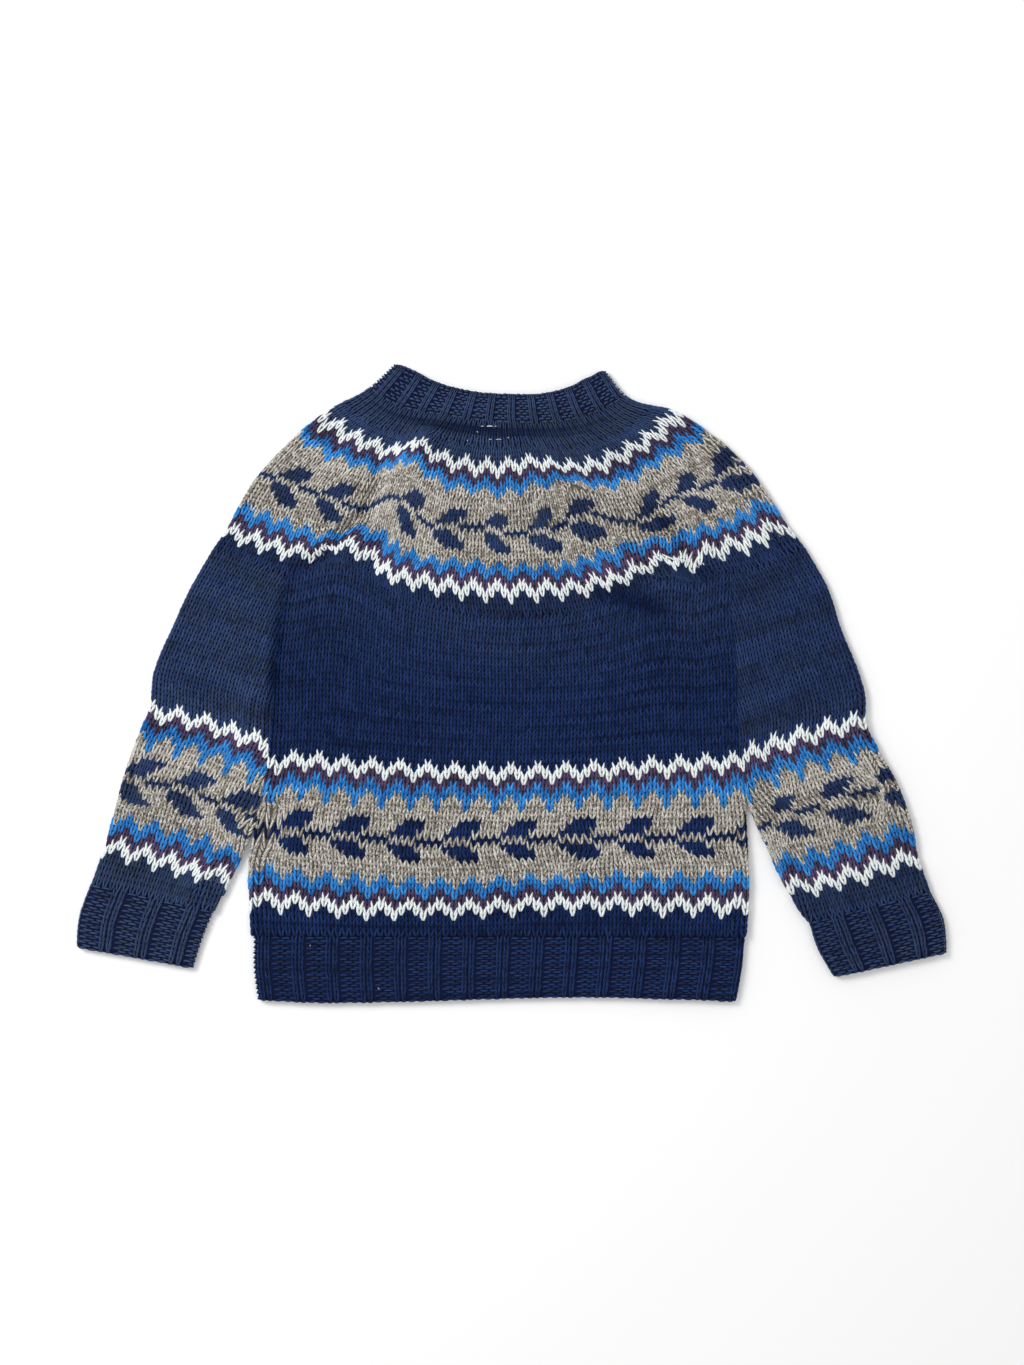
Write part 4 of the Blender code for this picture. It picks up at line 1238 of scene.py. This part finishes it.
# ---------------------------------------------------------------- ribbed pieces
# Each rib: wales over its back, its rows, and the row of its cast-on or bound-off edge.
Rib = namedtuple("Rib", "wales rows edge")
RIBS = {
    "hem_rib": Rib(58, np.linspace(-11.05, -0.5, 12), -11.85),
    "cuff_left": Rib(14, np.linspace(-10.05, -0.5, 11), -10.85),
    "cuff_right": Rib(15, np.linspace(-10.05, -0.5, 11), -10.85),
    "neckband": Rib(48, np.linspace(38.5, 42.5, 5), 43.3),
}
PAIR_EDGE = 1.55            # wales from a knit pair's middle to where the ground has sunk away
PAIR_SLOPE = 0.8            # wales over which it sinks


def soft_step(share):
    """0 to 1 with level ends: 3 s^2 - 2 s^3."""
    share = np.clip(share, 0, 1)
    return share * share * (3 - 2 * share)


def rib_depth(tube, row):
    """How much of a rib's relief has come in at a row: none at its seam, all of it RIB_FADE rows on."""
    seam = tube.first if tube.name == "neckband" else tube.last
    return soft_step(np.abs(row - seam) / RIB_FADE)


def rib_fade(tube, wale, row):
    """How much of it has come in at a wale too: none at the side folds, all of it two wales on."""
    return np.clip(np.minimum(wale, RIBS[tube.name].wales - wale) / 2, 0, 1) * rib_depth(tube, row)


def rib_relief(tube, share, row):
    """The ground rises under a rib's knit pairs on the back and sinks between them on the front."""
    wale = np.abs(share) * RIBS[tube.name].wales
    in_pair = soft_step((PAIR_EDGE - np.abs(from_pair(tube, wale))) / PAIR_SLOPE)
    return np.where(share >= 0, RIB_RELIEF * in_pair, -RIB_SINK * (1 - in_pair)) * rib_fade(tube, wale, row)


def in_navy(wale, row):
    """Stitches to be made in navy."""
    return Stitches(wale, row, plain_navy(wale, row))


def ribbed_piece(tube):
    """Ground, knit and purl stitches and the edge of a two-and-two rib, on the back and the front."""
    rib = RIBS[tube.name]
    back_across = rib_across(rib.wales)

    def front_across(tube, wale, row):
        """The same wales along the front, where across is below 0."""
        return -back_across(tube, wale, row)

    ground = ground_piece(tube, 2 * rib.wales, plain_navy, rib_relief)
    wale, row = (a.ravel().astype(float) for a in np.meshgrid(np.arange(rib.wales + 1), rib.rows))
    in_pair = np.abs(from_pair(tube, wale)) < 1
    rises = np.where(in_pair, RIB_RELIEF * rib_fade(tube, wale, row), 0.0)
    sinks = np.where(in_pair, 0.0, -RIB_SINK * rib_depth(tube, row))
    made = []
    for side, across_of, lift, edge_lift, first in (("back", back_across, rises, 0.5 * RIB_RELIEF, 0),
                                                    ("front", front_across, sinks, -0.1 * MM, 1)):
        kept = (wale >= first) & (wale <= rib.wales - first)
        knit, purl = kept & in_pair, kept & ~in_pair
        under = side == "front"
        slim = 1.0 if under else RIB_SLIM
        groups = plain_stitches(tube, across_of, in_navy(wale[knit], row[knit]), lift[knit], under, slim)
        groups += purl_bumps(tube, across_of, in_navy(wale[purl], row[purl]), lift[purl])
        edge = np.arange(first, rib.wales - first + 1.0)
        groups += edge_loops(tube, across_of, edge, rib.edge, edge_lift)
        made.append(strand_piece(tube.name + "_" + side, groups))
    return ground, made


# ---------------------------------------------------------------- loose strands
# Single strands that lie on the back: yarn, thickness in mm and the X, Y in mm that each runs through.
Loose = namedtuple("Loose", "yarn thick path")
YOKE_LOOSE = (
    # Stretched over the right crease.
    Loose(CREAM, 1.05, ((152, 134.5), (160, 131), (169, 127.5), (178, 125.5))),
    Loose(CREAM, 0.9, ((165, 130.5), (172, 128.5), (180, 126.5), (187, 124.5))),
    Loose(CREAM, 0.6, ((184, 124.5), (190, 122), (196, 118.5))),
    Loose(CREAM, 0.6, ((198, 124.5), (199, 123), (199.8, 121.5))),
    # Sewing thread.
    Loose(CREAM, 0.35, ((-33, 266.2), (-31, 266.5), (-28.5, 266.3))),
    Loose(CREAM, 0.6, ((-27, 266.2), (-22.5, 266.6), (-19, 266))),
    Loose(CREAM, 0.35, ((-18.2, 266), (-16.8, 266.4), (-15.6, 266.2))),
    Loose(CREAM, 0.3, ((-24.5, 252), (-22, 252.6), (-20.5, 252))),
    Loose(CREAM, 0.3, ((-17.5, 252), (-14, 252.7), (-10, 252.2))),
    Loose(CREAM, 0.35, ((-36.4, 261.5), (-35.8, 260.3), (-35.5, 259.4))),
    Loose(CREAM, 0.35, ((-4.6, 255), (-3.6, 254.2), (-3, 253.4))),
    Loose(CREAM, 0.35, ((-47, 251.8), (-46, 251.2), (-45.2, 250.9))),
)
BODY_LOOSE = (
    Loose(CREAM, 0.55, ((-51.6, -202.6), (-50.2, -203.2), (-49, -204.2))),
    Loose(CREAM, 0.3, ((-139.5, -316.5), (-138.3, -318), (-137, -318.8))),
    Loose(CREAM, 0.3, ((-210, -272), (-209.5, -273.2), (-209.3, -274.4))),
)
LOOSE_STOPS = 6
LOOSE_TAPER = np.array((0.85, 1.0, 1.0, 0.85))      # thickness along a loose strand


def loose_piece(name, table):
    """The strands of a table, laid on the back's face along smooth lines and let in at both ends."""
    middles = []
    for loose in table:
        points = in_metres(loose.path)
        run = lengths(points)
        plan = smooth(run, points, np.linspace(0.0, run[-1], LOOSE_STOPS))
        sinking = (0.1 + 1.2 * np.abs(np.linspace(-1, 1, LOOSE_STOPS)) ** 6) * MM
        middles.append(np.column_stack([plan, laid_top(plan) - sinking]))
    count = len(table)
    normals = np.tile((0.0, 0.0, 1.0), (count, LOOSE_STOPS, 1))
    thick = np.array([loose.thick for loose in table])[:, None] * LOOSE_TAPER * MM
    yarn = np.array([loose.yarn for loose in table])
    tone = DYE_TONE + uneven(count, 0.2)[:, 0]
    # The loose strands get no painted-light haze.
    group = (*strands(np.array(middles), normals, thick), yarn, tone, np.zeros(count))
    return strand_piece(name, [group])


# ---------------------------------------------------------------- the jumper
SLEEVE_CELLS = 20           # cells of a sleeve's ground over its back


# The yoke's parts, each with its own count: label, tube, stitches over the back, how much of a wale
# the first of them stands from the left fold's tip, and the yarns of the back and of the front.
YokePart = namedtuple("YokePart", "label tube wales start back front")
YOKE_PARTS = (
    YokePart("band", "yoke", 100, 0.5, yoke_wide_yarn, yoke_wide_yarn),
    YokePart("vine", "yoke_vine", 88, 0.5, yoke_vine_yarn, yoke_wide_yarn),
    YokePart("narrow", "yoke_top", 76, 0.1, yoke_narrow_yarn, yoke_narrow_yarn),
    YokePart("neck", "yoke_top", 56, 0.5, plain_navy, plain_navy),
)
TUBES = all_tubes()
pieces = {}

body = TUBES["body"]
body_rows = BODY_FIRST_ROW + BODY_ROW_STEP * np.arange(BODY_CAST_ON + 1)
pieces["body"] = knitted_piece(
    body, BODY_UNDER,
    [Block("back_band", body, body_across, BODY_WALES, body_rows[:BODY_PLAIN], body_yarn),
     Block("back_plain", body, body_across, BODY_WALES, body_rows[BODY_PLAIN:], body_yarn)],
    [Block("front", body, even_under(BODY_UNDER), np.arange(BODY_UNDER), body_rows, body_yarn)])

yoke_backs, yoke_fronts = [], []
yoke_rows = np.split(np.arange(YOKE_ROWS) + 0.5, YOKE_DECREASES)
for part, rows in zip(YOKE_PARTS, yoke_rows):
    tube, wales = TUBES[part.tube], np.arange(part.wales + 1)
    yoke_backs.append(Block("back_" + part.label, tube, even_back(part.wales, part.start),
                            wales, rows, part.back))
    yoke_fronts.append(Block("front_" + part.label, tube, even_under(part.wales),
                             wales[:-1], rows, part.front))
pieces["yoke"] = knitted_piece(TUBES["yoke"], YOKE_PARTS[0].wales, yoke_backs, yoke_fronts)

sleeve_rows = np.arange(SLEEVE_ROWS) + 0.5
for name, across_of, yarn_of, table in (
        ("sleeve_left", sleeve_left_across, sleeve_left_yarn, SLEEVE_LEFT_WALES),
        ("sleeve_right", sleeve_right_across, sleeve_right_yarn, SLEEVE_RIGHT_WALES)):
    tube, wales = TUBES[name], np.arange(-1, table.wales[-1] + 1)
    pieces[name] = knitted_piece(
        tube, SLEEVE_CELLS,
        [Block("back", tube, across_of, wales, sleeve_rows, yarn_of)],
        [Block("front", tube, sleeve_under, np.arange(SLEEVE_UNDER), sleeve_rows, yarn_of)])
for name in RIBS:
    pieces[name] = ribbed_piece(TUBES[name])

pieces["yoke"][1].append(loose_piece("yoke_loose_threads", YOKE_LOOSE))
pieces["body"][1].append(loose_piece("body_slubs", BODY_LOOSE))
for node, (ground, stitches) in pieces.items():
    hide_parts(node)

# ---------------------------------------------------------------- floor, light and camera
FLOOR = -0.4 * MM           # just under the cloth
FAR = 4.0                   # half the floor's width
corners = [(-FAR, -FAR, FLOOR), (FAR, -FAR, FLOOR), (FAR, FAR, FLOOR), (-FAR, FAR, FLOOR)]
floor_mesh = bpy.data.meshes.new("floor")
floor_mesh.from_pydata(corners, [], [(0, 1, 2, 3)])
paper = bpy.data.materials.new("paper")
paper.use_nodes = True
paper.node_tree.nodes["Principled BSDF"].inputs["Base Color"].default_value = (0.94, 0.94, 0.94, 1.0)
paper.node_tree.nodes["Principled BSDF"].inputs["Roughness"].default_value = 0.9
floor_mesh.materials.append(paper)
floor = bpy.data.objects.new("floor", floor_mesh)
bpy.context.scene.collection.objects.link(floor)

world = bpy.data.worlds.new("studio")
world.use_nodes = True
world.node_tree.nodes["Background"].inputs["Color"].default_value = (1.0, 1.0, 1.0, 1.0)
world.node_tree.nodes["Background"].inputs["Strength"].default_value = 0.75
bpy.context.scene.world = world

key = bpy.data.lights.new("key", "AREA")
key.shape = "SQUARE"
key.size = 1.0
key.energy = 42.0
softbox = bpy.data.objects.new("key", key)
softbox.location = (-1.5, 1.0, 1.9)
softbox.rotation_euler = (-softbox.location).to_track_quat("-Z", "Y").to_euler()
softbox.visible_camera = False
bpy.context.scene.collection.objects.link(softbox)

camera_data = bpy.data.cameras.new("camera")
camera_data.sensor_width = 36.0
camera_data.lens = 55.77
camera = bpy.data.objects.new("camera", camera_data)
camera.location = (0.00025, 0.00032, 2.205)
bpy.context.scene.collection.objects.link(camera)
bpy.context.scene.camera = camera
bpy.context.scene.view_settings.view_transform = "Standard"
